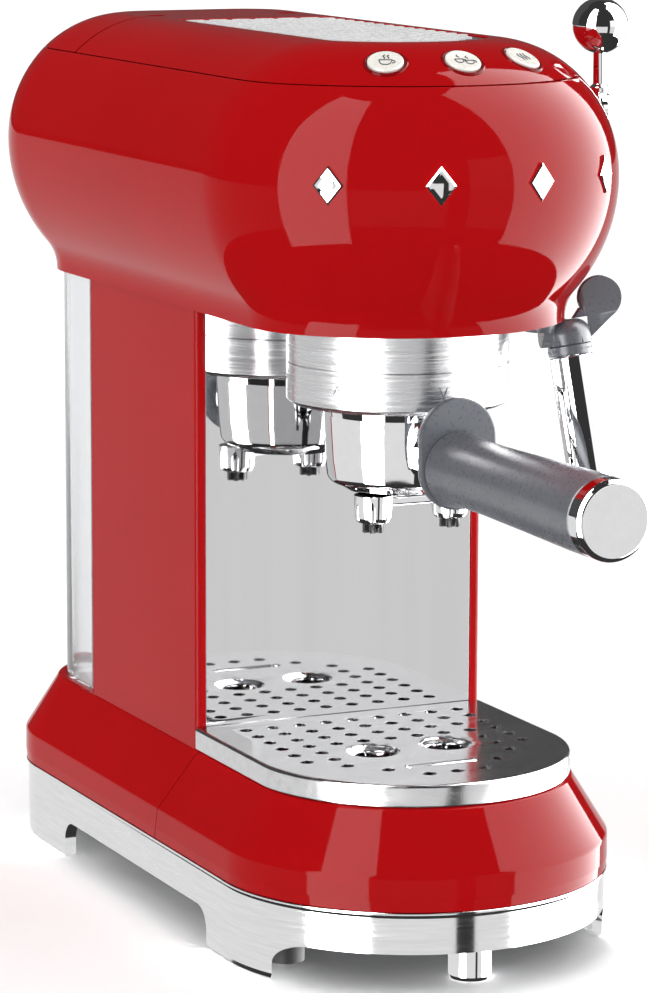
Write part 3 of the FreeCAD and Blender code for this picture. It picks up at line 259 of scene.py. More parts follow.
def moulded(name, colour, rough=0.42, grain=900.0, relief=0.08, variation=0.06):
    """Moulded plastic or rubber with a fine grain."""
    material, nodes, links, bsdf, coords = shader(name)
    patches = noise(nodes, links, coords.outputs["Object"], 30.0, detail=4.0)
    tone = ramp(nodes, links, patches, tinted(colour, 1 - variation), tinted(colour, 1 + variation))
    links.new(tone, bsdf.inputs["Base Color"])
    fine = noise(nodes, links, coords.outputs["Object"], grain, detail=2.0)
    links.new(spread(nodes, links, fine, rough - 0.05, rough + 0.05), bsdf.inputs["Roughness"])
    bump(nodes, links, fine, bsdf, relief, 0.0001)
    return material


def clear_plastic(name, colour, rough=0.03):
    """Clear moulded plastic with faint flow marks."""
    material, nodes, links, bsdf, coords = shader(name)
    flow = noise(nodes, links, coords.outputs["Object"], 14.0, (1, 1, 0.3), detail=2.0)
    links.new(ramp(nodes, links, flow, tinted(colour, 0.97), colour), bsdf.inputs["Base Color"])
    bsdf.inputs["Transmission Weight"].default_value = 0.92
    bsdf.inputs["IOR"].default_value = 1.42
    links.new(spread(nodes, links, flow, rough, rough + 0.04), bsdf.inputs["Roughness"])
    bump(nodes, links, flow, bsdf, 0.03, 0.0004)
    return material


FINISHES = {}


def make_finishes():
    """Every material of the machine, by name."""
    tone = colours()
    FINISHES.update({
        "enamel": enamel("red_enamel", tone.enamel),
        "enamel_deep": enamel("deep_red_enamel", tone.enamel_deep),
        "chrome": metal("polished_chrome", tone.chrome, 0.035, 0.015, 240.0, (1, 1, 1), 0.001,
                        variation=0.02),
        "chrome_satin": metal("satin_chrome", (0.78, 0.78, 0.785), 0.09, 0.03, 60.0, (1, 1, 14), 0.006,
                              variation=0.05),
        "collar": metal("turned_steel", tone.steel, 0.24, 0.07, 900.0, (0.02, 1, 1), 0.06, from_map=True,
                        variation=0.10),
        "plate": metal("drip_plate_steel", (0.66, 0.66, 0.67), 0.17, 0.04, 420.0, (0.05, 1, 1), 0.015),
        "steel": metal("brushed_steel", tone.steel, 0.26, 0.06, 300.0, (1, 1, 0.05), 0.04),
        "mirror": metal("splash_mirror", (0.66, 0.66, 0.665), 0.03, 0.01, 120.0, (1, 1, 0.05), 0.0005,
                        variation=0.015),
        "cup_rest": moulded("cup_rest_white", tone.cup_rest, 0.30, 500.0, 0.05, 0.03),
        # Dark sheet under the white pads: painted shade for the gaps between the pads
        "cup_rest_painted_shade": metal("cup_rest_painted_shade", (0.10, 0.10, 0.105), 0.45, 0.08, 220.0, (1, 0.1, 1), 0.05),
        "slate": moulded("slate_plastic", tone.slate, 0.30, 700.0, 0.03),
        "cream": moulded("cream_button", tone.cream, 0.28, 600.0, 0.02, 0.03),
        "ink": moulded("icon_ink", (0.03, 0.03, 0.035), 0.5),
        "black": moulded("black_plastic", (0.018, 0.018, 0.020), 0.42, 800.0, 0.12),
        "rubber": moulded("black_rubber", (0.012, 0.012, 0.012), 0.62, 500.0, 0.25),
        "clear": clear_plastic("clear_tank", (0.93, 0.94, 0.95)),
        "cast": metal("cast_aluminium", (0.55, 0.55, 0.56), 0.45, 0.08, 180.0, (1, 1, 1), 0.25),
        "brass": metal("machined_brass", (0.66, 0.46, 0.20), 0.28, 0.06, 200.0, (1, 1, 0.1), 0.05),
        "board": moulded("circuit_board", (0.02, 0.12, 0.06), 0.35, 250.0, 0.10, 0.20),
        "pump": moulded("pump_grey", (0.10, 0.105, 0.115), 0.45),
    })


# ---------------------------------------------------------------- mesh helpers

def soften(corners, closed=True, steps=4):
    """Line through (across, up, rounding) corners with each rounding drawn as an arc."""
    line = []
    last = len(corners) - 1
    for index, corner in enumerate(corners):
        here = Vector(corner[:2])
        rounding = corner[2] if len(corner) > 2 else 0
        if not rounding or (not closed and index in (0, last)):
            line.append(here)
            continue
        before = Vector(corners[index - 1][:2]) - here
        after = Vector(corners[(index + 1) % len(corners)][:2]) - here
        half = before.angle(after) / 2
        back = min(rounding / math.tan(half), before.length * 0.49, after.length * 0.49)
        before.normalize()
        after.normalize()
        centre = here + (before + after).normalized() * (back / math.cos(half))
        start = here + before * back - centre
        end = here + after * back - centre
        swing = start.angle(end)
        for step in range(steps + 1):
            share = step / steps
            arm = start * math.sin((1 - share) * swing) + end * math.sin(share * swing)
            line.append(centre + arm / math.sin(swing))
    return line


def profile(corners, closed=True, steps=4):
    """Softened line through (across, up, rounding) corners given in millimetres."""
    return soften([tuple(value * MM for value in corner) for corner in corners], closed, steps)


def wrap(builder, rings, ends=True):
    """Faces from each ring of points to the next, and over the first and last ring."""
    for lower, upper in zip(rings, rings[1:]):
        for index in range(len(lower)):
            after = (index + 1) % len(lower)
            builder.faces.new([lower[index], lower[after], upper[after], upper[index]])
    if ends:
        builder.faces.new(rings[0][::-1])
        builder.faces.new(rings[-1])


def to_object(name, mesh_builder, sharp=32):
    """Object from a bmesh: doubles merged, faces outwards, smooth but for sharp edges."""
    bmesh.ops.remove_doubles(mesh_builder, verts=mesh_builder.verts, dist=1e-6)
    bmesh.ops.recalc_face_normals(mesh_builder, faces=mesh_builder.faces)
    mesh = bpy.data.meshes.new(name)
    mesh_builder.to_mesh(mesh)
    mesh_builder.free()
    return smooth(link(name, mesh), sharp)


def link(name, mesh):
    piece = bpy.data.objects.new(name, mesh)
    bpy.context.scene.collection.objects.link(piece)
    return piece


def smooth(piece, sharp=32):
    piece.data.shade_smooth()
    piece.data.set_sharp_from_angle(angle=math.radians(sharp))
    return piece


def bake(piece):
    """Applies the piece's modifiers to its mesh."""
    bpy.context.view_layer.update()
    evaluated = piece.evaluated_get(bpy.context.evaluated_depsgraph_get())
    mesh = bpy.data.meshes.new_from_object(evaluated)
    piece.modifiers.clear()
    piece.data = mesh
    return piece


def carve(piece, cutters, sharp=32):
    """Cuts other solids out of a piece and removes them."""
    for cutter in cutters:
        knife = piece.modifiers.new("cut", "BOOLEAN")
        knife.operation = "DIFFERENCE"
        knife.solver = "EXACT"
        knife.object = cutter
    bake(piece)
    for cutter in cutters:
        bpy.data.objects.remove(cutter)
    return smooth(piece, sharp)


def join(name, pieces):
    """One object from several, with their materials kept."""
    first = pieces[0]
    with bpy.context.temp_override(active_object=first, selected_editable_objects=pieces,
                                   selected_objects=pieces, object=first):
        bpy.ops.object.join()
    first.name = name
    return first


def done(piece, body, finish, nodes=()):
    """Evens the shading of flat faces, then sets material, body and replaced nodes."""
    even = piece.modifiers.new("even", "WEIGHTED_NORMAL")
    even.keep_sharp = True
    bake(piece)
    if finish:
        piece.data.materials.clear()
        piece.data.materials.append(FINISHES[finish])
    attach(piece, body)
    if nodes:
        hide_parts(*nodes)
    return piece


def lathe(name, corners, place, along="Z", segments=96, closed=False, steps=4, turn=None):
    """Turned piece from (radius, height, rounding) corners in millimetres, with a UV map round and along."""
    line = profile(corners, closed, steps)
    spin = turn or {"Z": Matrix.Identity(4), "-Y": Matrix.Rotation(math.radians(90), 4, "X"),
                    "X": Matrix.Rotation(math.radians(90), 4, "Y")}[along]
    matrix = Matrix.Translation(place) @ spin
    builder = bmesh.new()
    uv = builder.loops.layers.uv.new("UVMap")
    rings = []
    for spot in line:
        if spot.x < 1e-7:
            rings.append([builder.verts.new(matrix @ Vector((0, 0, spot.y)))] * segments)
            continue
        ring = []
        for step in range(segments):
            angle = math.tau * step / segments
            ring.append(builder.verts.new(matrix @ Vector((spot.x * math.cos(angle),
                                                           spot.x * math.sin(angle), spot.y))))
        rings.append(ring)
    if closed:
        rings.append(rings[0])
        line = line + line[:1]
    girth = max(spot.x for spot in line) * math.tau
    travelled = 0.0
    for row in range(len(rings) - 1):
        further = travelled + (line[row + 1] - line[row]).length
        for step in range(segments):
            after = (step + 1) % segments
            loop = [rings[row][step], rings[row][after], rings[row + 1][after], rings[row + 1][step]]
            spots = [(step, travelled), (step + 1, travelled), (step + 1, further), (step, further)]
            kept = [pair for index, pair in enumerate(zip(loop, spots)) if loop.index(pair[0]) == index]
            if len(kept) < 3:
                continue
            face = builder.faces.new([pair[0] for pair in kept])
            for corner, (vert, (across, up)) in zip(face.loops, kept):
                corner[uv].uv = (across / segments * girth, up)
        travelled = further
    return to_object(name, builder)


class Outline:
    """Straight sides, a front of three arcs and two rear corners, walked anticlockwise."""

    def __init__(self, half, front, corner, depth, rear, rear_corner):
        nose = (corner ** 2 - (half - corner) ** 2 - depth ** 2) / (2 * (corner - depth))
        self.nose = nose
        self.nose_y = nose - front
        side_y = depth - front
        swing = math.atan2(half - corner, self.nose_y - side_y)
        back = rear - rear_corner
        right = math.pi / 2
        self.spans = [
            ("arc", (0, self.nose_y), nose, -right - swing, -right + swing),
            ("arc", (half - corner, side_y), corner, -right + swing, 0),
            ("line", (half, side_y), (half, back)),
            ("arc", (half - rear_corner, back), rear_corner, 0, right),
            ("line", (half - rear_corner, rear), (rear_corner - half, rear)),
            ("arc", (rear_corner - half, back), rear_corner, right, 2 * right),
            ("line", (-half, back), (-half, side_y)),
            ("arc", (corner - half, side_y), corner, 2 * right, 3 * right - swing),
        ]

    def stations(self, step):
        """Points with their outward directions, a step apart."""
        found = []
        for kind, start, *rest in self.spans:
            start = Vector(start)
            if kind == "arc":
                radius, first, last = rest
                count = max(3, round((last - first) * radius / step))
                for index in range(count):
                    angle = first + (last - first) * index / count
                    out = Vector((math.cos(angle), math.sin(angle)))
                    found.append((start + out * radius, out))
            else:
                along = Vector(rest[0]) - start
                out = Vector((along.y, -along.x)).normalized()
                count = max(2, round(along.length / (3 * step)))
                found += [(start + along * index / count, out) for index in range(count)]
        return found


def sweep(name, outline, section, sharp=32):
    """Closed shell that carries a closed (outwards, up) section round the outline, in metres."""
    builder = bmesh.new()
    rings = []
    origin = at(0, 0, 0)
    for spot, out in outline.stations(sizes().detail):
        rings.append([builder.verts.new(origin + Vector((spot.x + out.x * far, spot.y + out.y * far, up)))
                      for far, up in section])
    count = len(section)
    for index, ring in enumerate(rings):
        following = rings[(index + 1) % len(rings)]
        for row in range(count):
            after = (row + 1) % count
            builder.faces.new([ring[row], following[row], following[after], ring[after]])
    return to_object(name, builder, sharp)


def plate(name, outline, grow, low, high, edge=0.0004):
    """Flat plate of the outline moved outwards by grow, with rounded upper and lower edges."""
    builder = bmesh.new()
    rings = []
    origin = at(0, 0, 0)
    line = soften([(grow - 3 * edge, low), (grow, low, edge), (grow, high, edge), (grow - 3 * edge, high)],
                  closed=False, steps=3)
    stations = outline.stations(sizes().detail)
    for far, up in line:
        rings.append([builder.verts.new(origin + Vector((spot.x + out.x * far, spot.y + out.y * far, up)))
                      for spot, out in stations])
    wrap(builder, rings)
    return to_object(name, builder)


def slice_away(piece, point, normal):
    """Keeps what lies behind the plane's normal and closes the cut."""
    builder = bmesh.new()
    builder.from_mesh(piece.data)
    cut = bmesh.ops.bisect_plane(builder, geom=builder.verts[:] + builder.edges[:] + builder.faces[:],
                                 plane_co=point, plane_no=normal, clear_outer=True)
    rim = [item for item in cut["geom_cut"] if isinstance(item, bmesh.types.BMEdge)]
    if rim:
        bmesh.ops.edgeloop_fill(builder, edges=rim)
    bmesh.ops.recalc_face_normals(builder, faces=builder.faces)
    builder.to_mesh(piece.data)
    builder.free()
    smooth(piece)


def bar(name, low, high, edge):
    """Box between two corners with its edges rounded."""
    builder = bmesh.new()
    middle = (low + high) / 2
    bmesh.ops.create_cube(builder, size=1.0, matrix=Matrix.Translation(middle)
                          @ Matrix.Diagonal((*(high - low), 1.0)))
    bmesh.ops.bevel(builder, geom=builder.edges[:], offset=edge, segments=3, affect="EDGES", profile=0.5)
    return to_object(name, builder)


def copy_node(name, node, sharp=32):
    """Merged, smoothly shaded copy of a CAD node, to be shown in its place."""
    builder = bmesh.new()
    builder.from_mesh(frame["nodes"][node].data)
    bmesh.ops.remove_doubles(builder, verts=builder.verts, dist=2e-6)
    mesh = bpy.data.meshes.new(name)
    builder.to_mesh(mesh)
    builder.free()
    return smooth(link(name, mesh), sharp)


def wire(name, runs, thickness, matrix):
    """Thin round lines through lists of points in millimetres, as one mesh."""
    line = bpy.data.curves.new(name, "CURVE")
    line.dimensions = "3D"
    line.bevel_depth = thickness * MM
    line.bevel_resolution = 1
    for run in runs:
        spline = line.splines.new("POLY")
        spline.points.add(len(run) - 1)
        for point, spot in zip(spline.points, run):
            point.co = (spot[0] * MM, spot[1] * MM, 0, 1)
    holder = link(name, line)
    bpy.context.view_layer.update()
    mesh = bpy.data.meshes.new_from_object(holder.evaluated_get(bpy.context.evaluated_depsgraph_get()))
    bpy.data.objects.remove(holder)
    mesh.transform(matrix)
    return smooth(link(name, mesh), 60)


# ---------------------------------------------------------------- geometry node trees

def new_tree(name, inputs):
    """Geometry node tree with a geometry in and out and named number inputs."""
    tree = bpy.data.node_groups.new(name, "GeometryNodeTree")
    tree.interface.new_socket("Geometry", in_out="INPUT", socket_type="NodeSocketGeometry")
    for label, kind, value in inputs:
        socket = tree.interface.new_socket(label, in_out="INPUT", socket_type=kind)
        if value is not None:
            socket.default_value = value
    tree.interface.new_socket("Geometry", in_out="OUTPUT", socket_type="NodeSocketGeometry")
    entry = tree.nodes.new("NodeGroupInput")
    leave = tree.nodes.new("NodeGroupOutput")
    return tree, entry, leave


def end_tree(tree, leave, geometry, entry):
    """Realize Instances and Set Material before the tree's output."""
    real = tree.nodes.new("GeometryNodeRealizeInstances")
    coat = tree.nodes.new("GeometryNodeSetMaterial")
    tree.links.new(geometry, real.inputs["Geometry"])
    tree.links.new(real.outputs["Geometry"], coat.inputs["Geometry"])
    tree.links.new(entry.outputs["Material"], coat.inputs["Material"])
    tree.links.new(coat.outputs["Geometry"], leave.inputs["Geometry"])


def run_tree(piece, tree, values, sharp=40):
    """Runs a tree on a piece with its inputs set by identifier, and keeps the result as a plain mesh."""
    modifier = piece.modifiers.new(tree.name, "NODES")
    modifier.node_group = tree
    for item in tree.interface.items_tree:
        if item.in_out == "INPUT" and item.name in values:
            modifier[item.identifier] = values[item.name]
    return smooth(bake(piece), sharp)


def torus_tree():
    """Thin ring on every point: the pressed rims of the drain holes."""
    tree, entry, leave = new_tree("drain_rims", [
        ("Hole Radius", "NodeSocketFloat", 0.00255), ("Rim Width", "NodeSocketFloat", 0.0003),
        ("Material", "NodeSocketMaterial", None)])
    nodes, links = tree.nodes, tree.links
    circle = nodes.new("GeometryNodeCurvePrimitiveCircle")
    circle.inputs["Resolution"].default_value = 20
    wire_circle = nodes.new("GeometryNodeCurvePrimitiveCircle")
    wire_circle.inputs["Resolution"].default_value = 5
    tube = nodes.new("GeometryNodeCurveToMesh")
    place = nodes.new("GeometryNodeInstanceOnPoints")
    place.inputs["Scale"].default_value = (1.0, 1.0, 0.8)
    links.new(entry.outputs["Hole Radius"], circle.inputs["Radius"])
    links.new(entry.outputs["Rim Width"], wire_circle.inputs["Radius"])
    links.new(circle.outputs["Curve"], tube.inputs["Curve"])
    links.new(wire_circle.outputs["Curve"], tube.inputs["Profile Curve"])
    links.new(entry.outputs["Geometry"], place.inputs["Points"])
    links.new(tube.outputs["Mesh"], place.inputs["Instance"])
    end_tree(tree, leave, place.outputs["Instances"], entry)
    return tree


def ridge_tree():
    """Ridges round a ring, set on a circle and turned outwards."""
    tree, entry, leave = new_tree("grip_ridges", [
        ("Radius", "NodeSocketFloat", 0.0077), ("Count", "NodeSocketInt", 36),
        ("Ridge", "NodeSocketVector", (0.0006, 0.0005, 0.003)), ("Material", "NodeSocketMaterial", None)])
    nodes, links = tree.nodes, tree.links
    circle = nodes.new("GeometryNodeCurvePrimitiveCircle")
    points = nodes.new("GeometryNodeCurveToPoints")
    cube = nodes.new("GeometryNodeMeshCube")
    place = nodes.new("GeometryNodeInstanceOnPoints")
    links.new(entry.outputs["Count"], circle.inputs["Resolution"])
    links.new(entry.outputs["Radius"], circle.inputs["Radius"])
    links.new(circle.outputs["Curve"], points.inputs["Curve"])
    links.new(entry.outputs["Count"], points.inputs["Count"])
    links.new(entry.outputs["Ridge"], cube.inputs["Size"])
    links.new(points.outputs["Points"], place.inputs["Points"])
    links.new(points.outputs["Rotation"], place.inputs["Rotation"])
    links.new(cube.outputs["Mesh"], place.inputs["Instance"])
    end_tree(tree, leave, place.outputs["Instances"], entry)
    return tree


def pad_tree():
    """Staggered rows of raised pads, kept inside a plate with a round nose."""
    tree, entry, leave = new_tree("cup_rest_pads", [
        ("Rows", "NodeSocketInt", 40), ("Columns", "NodeSocketInt", 12),
        ("Row Pitch", "NodeSocketFloat", 0.0038), ("Column Pitch", "NodeSocketFloat", 0.0050),
        ("Pad", "NodeSocketVector", (0.0040, 0.0022, 0.0009)), ("Nose Radius", "NodeSocketFloat", 0.028),
        ("Nose Y", "NodeSocketFloat", 0.0), ("Material", "NodeSocketMaterial", None)])
    nodes, links = tree.nodes, tree.links
    work = partial(maths, nodes, links)
    total = work("MULTIPLY", entry.outputs["Rows"], entry.outputs["Columns"])
    points = nodes.new("GeometryNodePoints")
    index = nodes.new("GeometryNodeInputIndex").outputs["Index"]
    row = work("FLOOR", work("DIVIDE", index, entry.outputs["Columns"]))
    column = work("MODULO", index, entry.outputs["Columns"])
    stagger = work("MULTIPLY", work("MODULO", row, 2.0), 0.5)
    middle = work("DIVIDE", work("SUBTRACT", entry.outputs["Columns"], 0.5), 2.0)
    across = work("MULTIPLY", work("SUBTRACT", work("ADD", column, stagger), middle),
                   entry.outputs["Column Pitch"])
    along = work("MULTIPLY", row, entry.outputs["Row Pitch"])
    place = nodes.new("ShaderNodeCombineXYZ")
    links.new(across, place.inputs["X"])
    links.new(along, place.inputs["Y"])
    links.new(total, points.inputs["Count"])
    links.new(place.outputs["Vector"], points.inputs["Position"])
    ahead = work("MAXIMUM", work("SUBTRACT", entry.outputs["Nose Y"], along), 0.0)
    reach = work("SQRT", work("ADD", work("POWER", ahead, 2.0), work("POWER", across, 2.0)))
    outside = nodes.new("FunctionNodeCompare")
    outside.operation = "GREATER_THAN"
    links.new(reach, outside.inputs["A"])
    links.new(entry.outputs["Nose Radius"], outside.inputs["B"])
    trim = nodes.new("GeometryNodeDeleteGeometry")
    links.new(points.outputs["Points"], trim.inputs["Geometry"])
    links.new(outside.outputs["Result"], trim.inputs["Selection"])
    cube = nodes.new("GeometryNodeMeshCube")
    links.new(entry.outputs["Pad"], cube.inputs["Size"])
    stand = nodes.new("GeometryNodeInstanceOnPoints")
    links.new(trim.outputs["Geometry"], stand.inputs["Points"])
    links.new(cube.outputs["Mesh"], stand.inputs["Instance"])
    end_tree(tree, leave, stand.outputs["Instances"], entry)
    return tree


# ---------------------------------------------------------------- shared outlines and profiles

SEAM_STEP = 0.25 * MM
SEAM_GAP = 0.10 * MM
SEAM_ROUND = 0.4 * MM
DOME_WALL = 2.5 * MM
BUTTON_IN = 6.0 * MM
BUTTON_SPREAD = 27.5
STUD_SPREAD = 27.0


def base_outline():
    size = sizes()
    return Outline(size.base_half, size.base_front, size.base_corner, size.base_depth, size.base_rear,
                   size.rear_corner)


def head_outline():
    size = sizes()
    return Outline(size.head_half, size.head_front, size.head_corner, size.head_depth, size.head_rear,
                   size.rear_corner)


def bulge_side(inset, low, high, steps):
    """Points up the head's upper profile between two heights, inset into the shell."""
    size = sizes()
    centre = size.bulge_out - size.high_radius
    radius = size.high_radius - inset
    points = []
    for step in range(steps + 1):
        up = low + (high - low) * step / steps
        points.append((centre + math.sqrt(radius ** 2 - (up - size.bulge_height) ** 2), up))
    return points


def bulge_foot(inset, steps):
    """Points up the flare and lower bulge to the widest line."""
    size = sizes()
    centre = size.bulge_out - size.low_radius
    end_out = centre + size.low_radius * math.cos(size.flare_angle)
    flare = end_out / (1 - math.cos(size.flare_angle))
    flare_z = size.bulge_height - (size.low_radius + flare) * math.sin(size.flare_angle)
    points = [(-inset, size.head_low)]
    for step in range(steps + 1):
        angle = size.flare_angle * step / steps
        reach = flare + inset
        points.append((flare - reach * math.cos(angle), flare_z + reach * math.sin(angle)))
    for step in range(1, 2 * steps):
        angle = size.flare_angle * (1 - step / (2 * steps))
        radius = size.low_radius - inset
        points.append((centre + radius * math.cos(angle), size.bulge_height - radius * math.sin(angle)))
    return points


RECESS_IN = 27.5 * MM
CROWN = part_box("top_cover")[1].z


def crown_circle():
    """Radius and centre height of the top's profile, which is level where the cup rest starts."""
    low = sizes().seam_height + SEAM_STEP
    run = bulge_side(0, low, low, 1)[0][0] + RECESS_IN
    rise = CROWN - low
    radius = (run ** 2 + rise ** 2) / (2 * rise)
    return radius, CROWN - radius


def crown_height(out):
    radius, foot = crown_circle()
    return foot + math.sqrt(radius ** 2 - (out + RECESS_IN) ** 2)


def crown_line(inset, first, last, steps):
    """Points over the domed top between two distances outside the outline."""
    radius, foot = crown_circle()
    return [(out, foot + math.sqrt((radius - inset) ** 2 - (out + RECESS_IN) ** 2))
            for out in (first + (last - first) * step / steps for step in range(steps + 1))]


def dome_foot(low):
    """Reach of the dome at its lower edge, and the points that round that edge."""
    reach = bulge_side(0, low, low, 1)[0][0]
    return reach, [(reach - 0.9 * MM, low), (reach - 0.3 * MM, low + 0.12 * MM)]


def button_frames():
    """Matrix of each button: its local Z stands on the domed front."""
    radius, foot = crown_circle()
    tilt = math.atan2(RECESS_IN - BUTTON_IN, crown_height(-BUTTON_IN) - foot)
    outline = head_outline()
    frames = []
    for step in (-1, 0, 1):
        angle = math.radians(-90 + step * BUTTON_SPREAD)
        reach = outline.nose - BUTTON_IN
        place = at(0, 0, 0) + Vector((reach * math.cos(angle), outline.nose_y + reach * math.sin(angle),
                                      crown_height(-BUTTON_IN)))
        frames.append(Matrix.Translation(place)
                      @ Matrix.Rotation(angle, 4, "Z") @ Matrix.Rotation(tilt, 4, "Y"))
    return frames


# ---------------------------------------------------------------- operators

class PieceOperator:
    """Shared settings of the piece operators."""
    bl_options = {"REGISTER", "UNDO"}

    def execute(self, context):
        self.build()
        return {"FINISHED"}


class MACHINE_OT_head(PieceOperator, bpy.types.Operator):
    """Bulging enamelled shell of the head"""
    bl_idname = "machine.head"
    bl_label = "Head Shell"

    def build(self):
        size = sizes()
        top = size.seam_height - SEAM_GAP
        wall = size.wall
        outer = bulge_foot(0.0, 7) + bulge_side(0.0, size.bulge_height, top - SEAM_ROUND, 14)
        edge = outer[-1][0]
        lip = [(edge - 0.35 * MM, top - 0.12 * MM), (edge - 0.9 * MM, top)]
        inner = bulge_side(wall, size.bulge_height, top, 8)[::-1] + bulge_foot(wall, 5)[::-1][:-1]
        shell = sweep("head_skin", head_outline(), outer + lip + inner + [(-wall, size.head_low)])
        middle = middle_of("lever_shaft")
        hole = lathe("hub_hole", [(0, -12), (5, -12), (5, 25), (0, 25)],
                     Vector((at(size.head_half / MM, 0, 0).x, middle.y, middle.z)), "X", 48)
        done(carve(shell, [hole]), "machine", "enamel", ["head_shell"])
        floor = copy_node("head_underside", "head_floor")
        done(floor, "machine", "black", ["head_floor"])


class MACHINE_OT_cover(PieceOperator, bpy.types.Operator):
    """Domed front cover with the cup rest's recess and button holes"""
    bl_idname = "machine.cover"
    bl_label = "Top Cover"

    def build(self):
        size = sizes()
        low = size.seam_height + SEAM_GAP
        inner = -RECESS_IN
        floor_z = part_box("cup_rest")[0].z
        under = floor_z - 2.4 * MM
        seam_out, section = dome_foot(low)
        section += crown_line(0.0, seam_out - 0.1 * MM, inner + 0.9 * MM, 22)
        section += [(inner + 0.25 * MM, CROWN - 0.06 * MM), (inner, CROWN - 0.35 * MM),
                    (inner, under), (inner + DOME_WALL, under)]
        section += crown_line(DOME_WALL, inner + DOME_WALL, seam_out - 3.0 * MM, 10)
        ring = sweep("cover_dome", head_outline(), section)
        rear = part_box("top_cover")[1].y + 0.3 * MM
        slice_away(ring, Vector((0, rear, 0)), Vector((0, 1, 0)))
        holes = [lathe(f"button_hole_{index}", [(0, -9), (6.5, -9), (6.5, 6), (0, 6)], Vector((0, 0, 0)),
                       turn=matrix, segments=64) for index, matrix in enumerate(button_frames())]
        carve(ring, holes)
        half = size.head_half + inner
        low_corner = Vector((MID_X - half - 0.6 * MM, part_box("cup_rest")[1].y + 0.5 * MM, under))
        high_corner = Vector((MID_X + half + 0.6 * MM, rear, CROWN))
        bridge = bar("cover_bridge", low_corner, high_corner, 0.5 * MM)
        floor = plate("cover_floor", head_outline(), inner + 0.3 * MM, under, floor_z - 0.1 * MM)
        slice_away(floor, Vector((0, rear - 8 * MM, 0)), Vector((0, 1, 0)))
        whole = join("top_dome", [ring, bridge, floor])
        done(whole, "machine", "enamel", ["top_cover"])


class MACHINE_OT_cup_rest(PieceOperator, bpy.types.Operator):
    """Embossed cup rest in the recess"""
    bl_idname = "machine.cup_rest"
    bl_label = "Cup Rest"

    def build(self):
        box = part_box("cup_rest")
        outline = head_outline()
        inset = -28.1 * MM
        top = box[1].z
        # The sheet under the pads is dark: painted shade between the pads
        sheet = plate("cup_rest_shade_sheet", outline, inset, box[0].z, top - 0.7 * MM)
        slice_away(sheet, Vector((0, box[1].y, 0)), Vector((0, 1, 0)))
        done(sheet, "machine", "cup_rest_painted_shade", ["cup_rest"])
        half = (box[1].x - box[0].x) / 2
        start = box[0].y + 3.2 * MM
        holder = link("cup_rest_pads", bpy.data.meshes.new("cup_rest_pads"))
        pads = run_tree(holder, pad_tree(), {
            "Rows": int((box[1].y - start - 1.6 * MM) / (4.2 * MM)) + 1,
            "Columns": 6, "Row Pitch": 4.2 * MM, "Column Pitch": 9.2 * MM,
            "Pad": (6.4 * MM, 2.8 * MM, 0.9 * MM), "Nose Radius": half - 3.6 * MM,
            "Nose Y": half - 3.2 * MM, "Material": FINISHES["cup_rest"]}, 60)
        pads.data.transform(Matrix.Translation((MID_X, start, top - 0.40 * MM)))
        done(pads, "machine", None)


class MACHINE_OT_buttons(PieceOperator, bpy.types.Operator):
    """Three cream push buttons with line icons, each in a darker ring"""
    bl_idname = "machine.buttons"
    bl_label = "Buttons"

    def icon(self, kind):
        """Runs of the line icon of a button, in millimetres."""
        def cup(x, y, size):
            rim, low, base = y + size * 0.55, y - size * 0.45, y - size * 0.75
            side, foot = size * 0.75, size * 0.35
            bowl = [(x - size, rim), (x - side, low), (x - foot, base), (x + foot, base), (x + side, low),
                    (x + size, rim), (x - size, rim)]
            ear = []
            for step in range(7):
                angle = step * math.pi / 6 - math.pi / 2
                ear.append((x + size * math.cos(angle) * 0.45 + size,
                            y + size * 0.05 + size * math.sin(angle) * 0.4))
            return [bowl, ear]

        def steam(x, y, tall):
            return [[(x + 0.35 * math.sin(step * 1.2), y + tall * step / 6) for step in range(7)]]

        if kind == 0:
            return cup(0, -0.8, 2.2) + steam(-0.6, 1.2, 2.2) + steam(0.8, 1.2, 2.2)
        if kind == 1:
            return cup(-1.6, -0.4, 1.6) + cup(1.9, -1.4, 1.6) + steam(-1.4, 1.2, 1.8) + steam(1.6, 0.4, 1.8)
        return steam(-1.6, -2.0, 4.0) + steam(0, -2.0, 4.0) + steam(1.6, -2.0, 4.0)

    def build(self):
        bodies = ("button_left", "button_middle", "button_right")
        for index, (matrix, body) in enumerate(zip(button_frames(), bodies)):
            cap = lathe(f"button_cap_{index + 1}", [
                (0, -9), (2.5, -9), (2.5, -3.4), (6.15, -3.4), (6.15, 0.5, 0.5), (5.5, 0.85, 0.3),
                (3, 0.7, 2), (0, 0.68)], Vector((0, 0, 0)), turn=matrix, segments=72)
            done(cap, body, "cream", [f"button_{index + 1}"])
            turn = Matrix.Rotation(math.radians(90), 4, "Z")
            drawing = wire(f"button_icon_{index + 1}", self.icon(index), 0.2,
                           matrix @ Matrix.Translation((0, 0, 0.76 * MM)) @ turn)
            done(drawing, body, "ink")
            ring = lathe(f"button_ring_{index + 1}", [
                (6.35, -2.6), (7.7, -2.6), (7.7, -0.4, 0.3), (7.3, 0.08, 0.2), (6.8, 0.12, 0.2),
                (6.35, -0.3, 0.2)], Vector((0, 0, 0)), turn=matrix, segments=72, closed=True)
            done(ring, "machine", "enamel_deep")


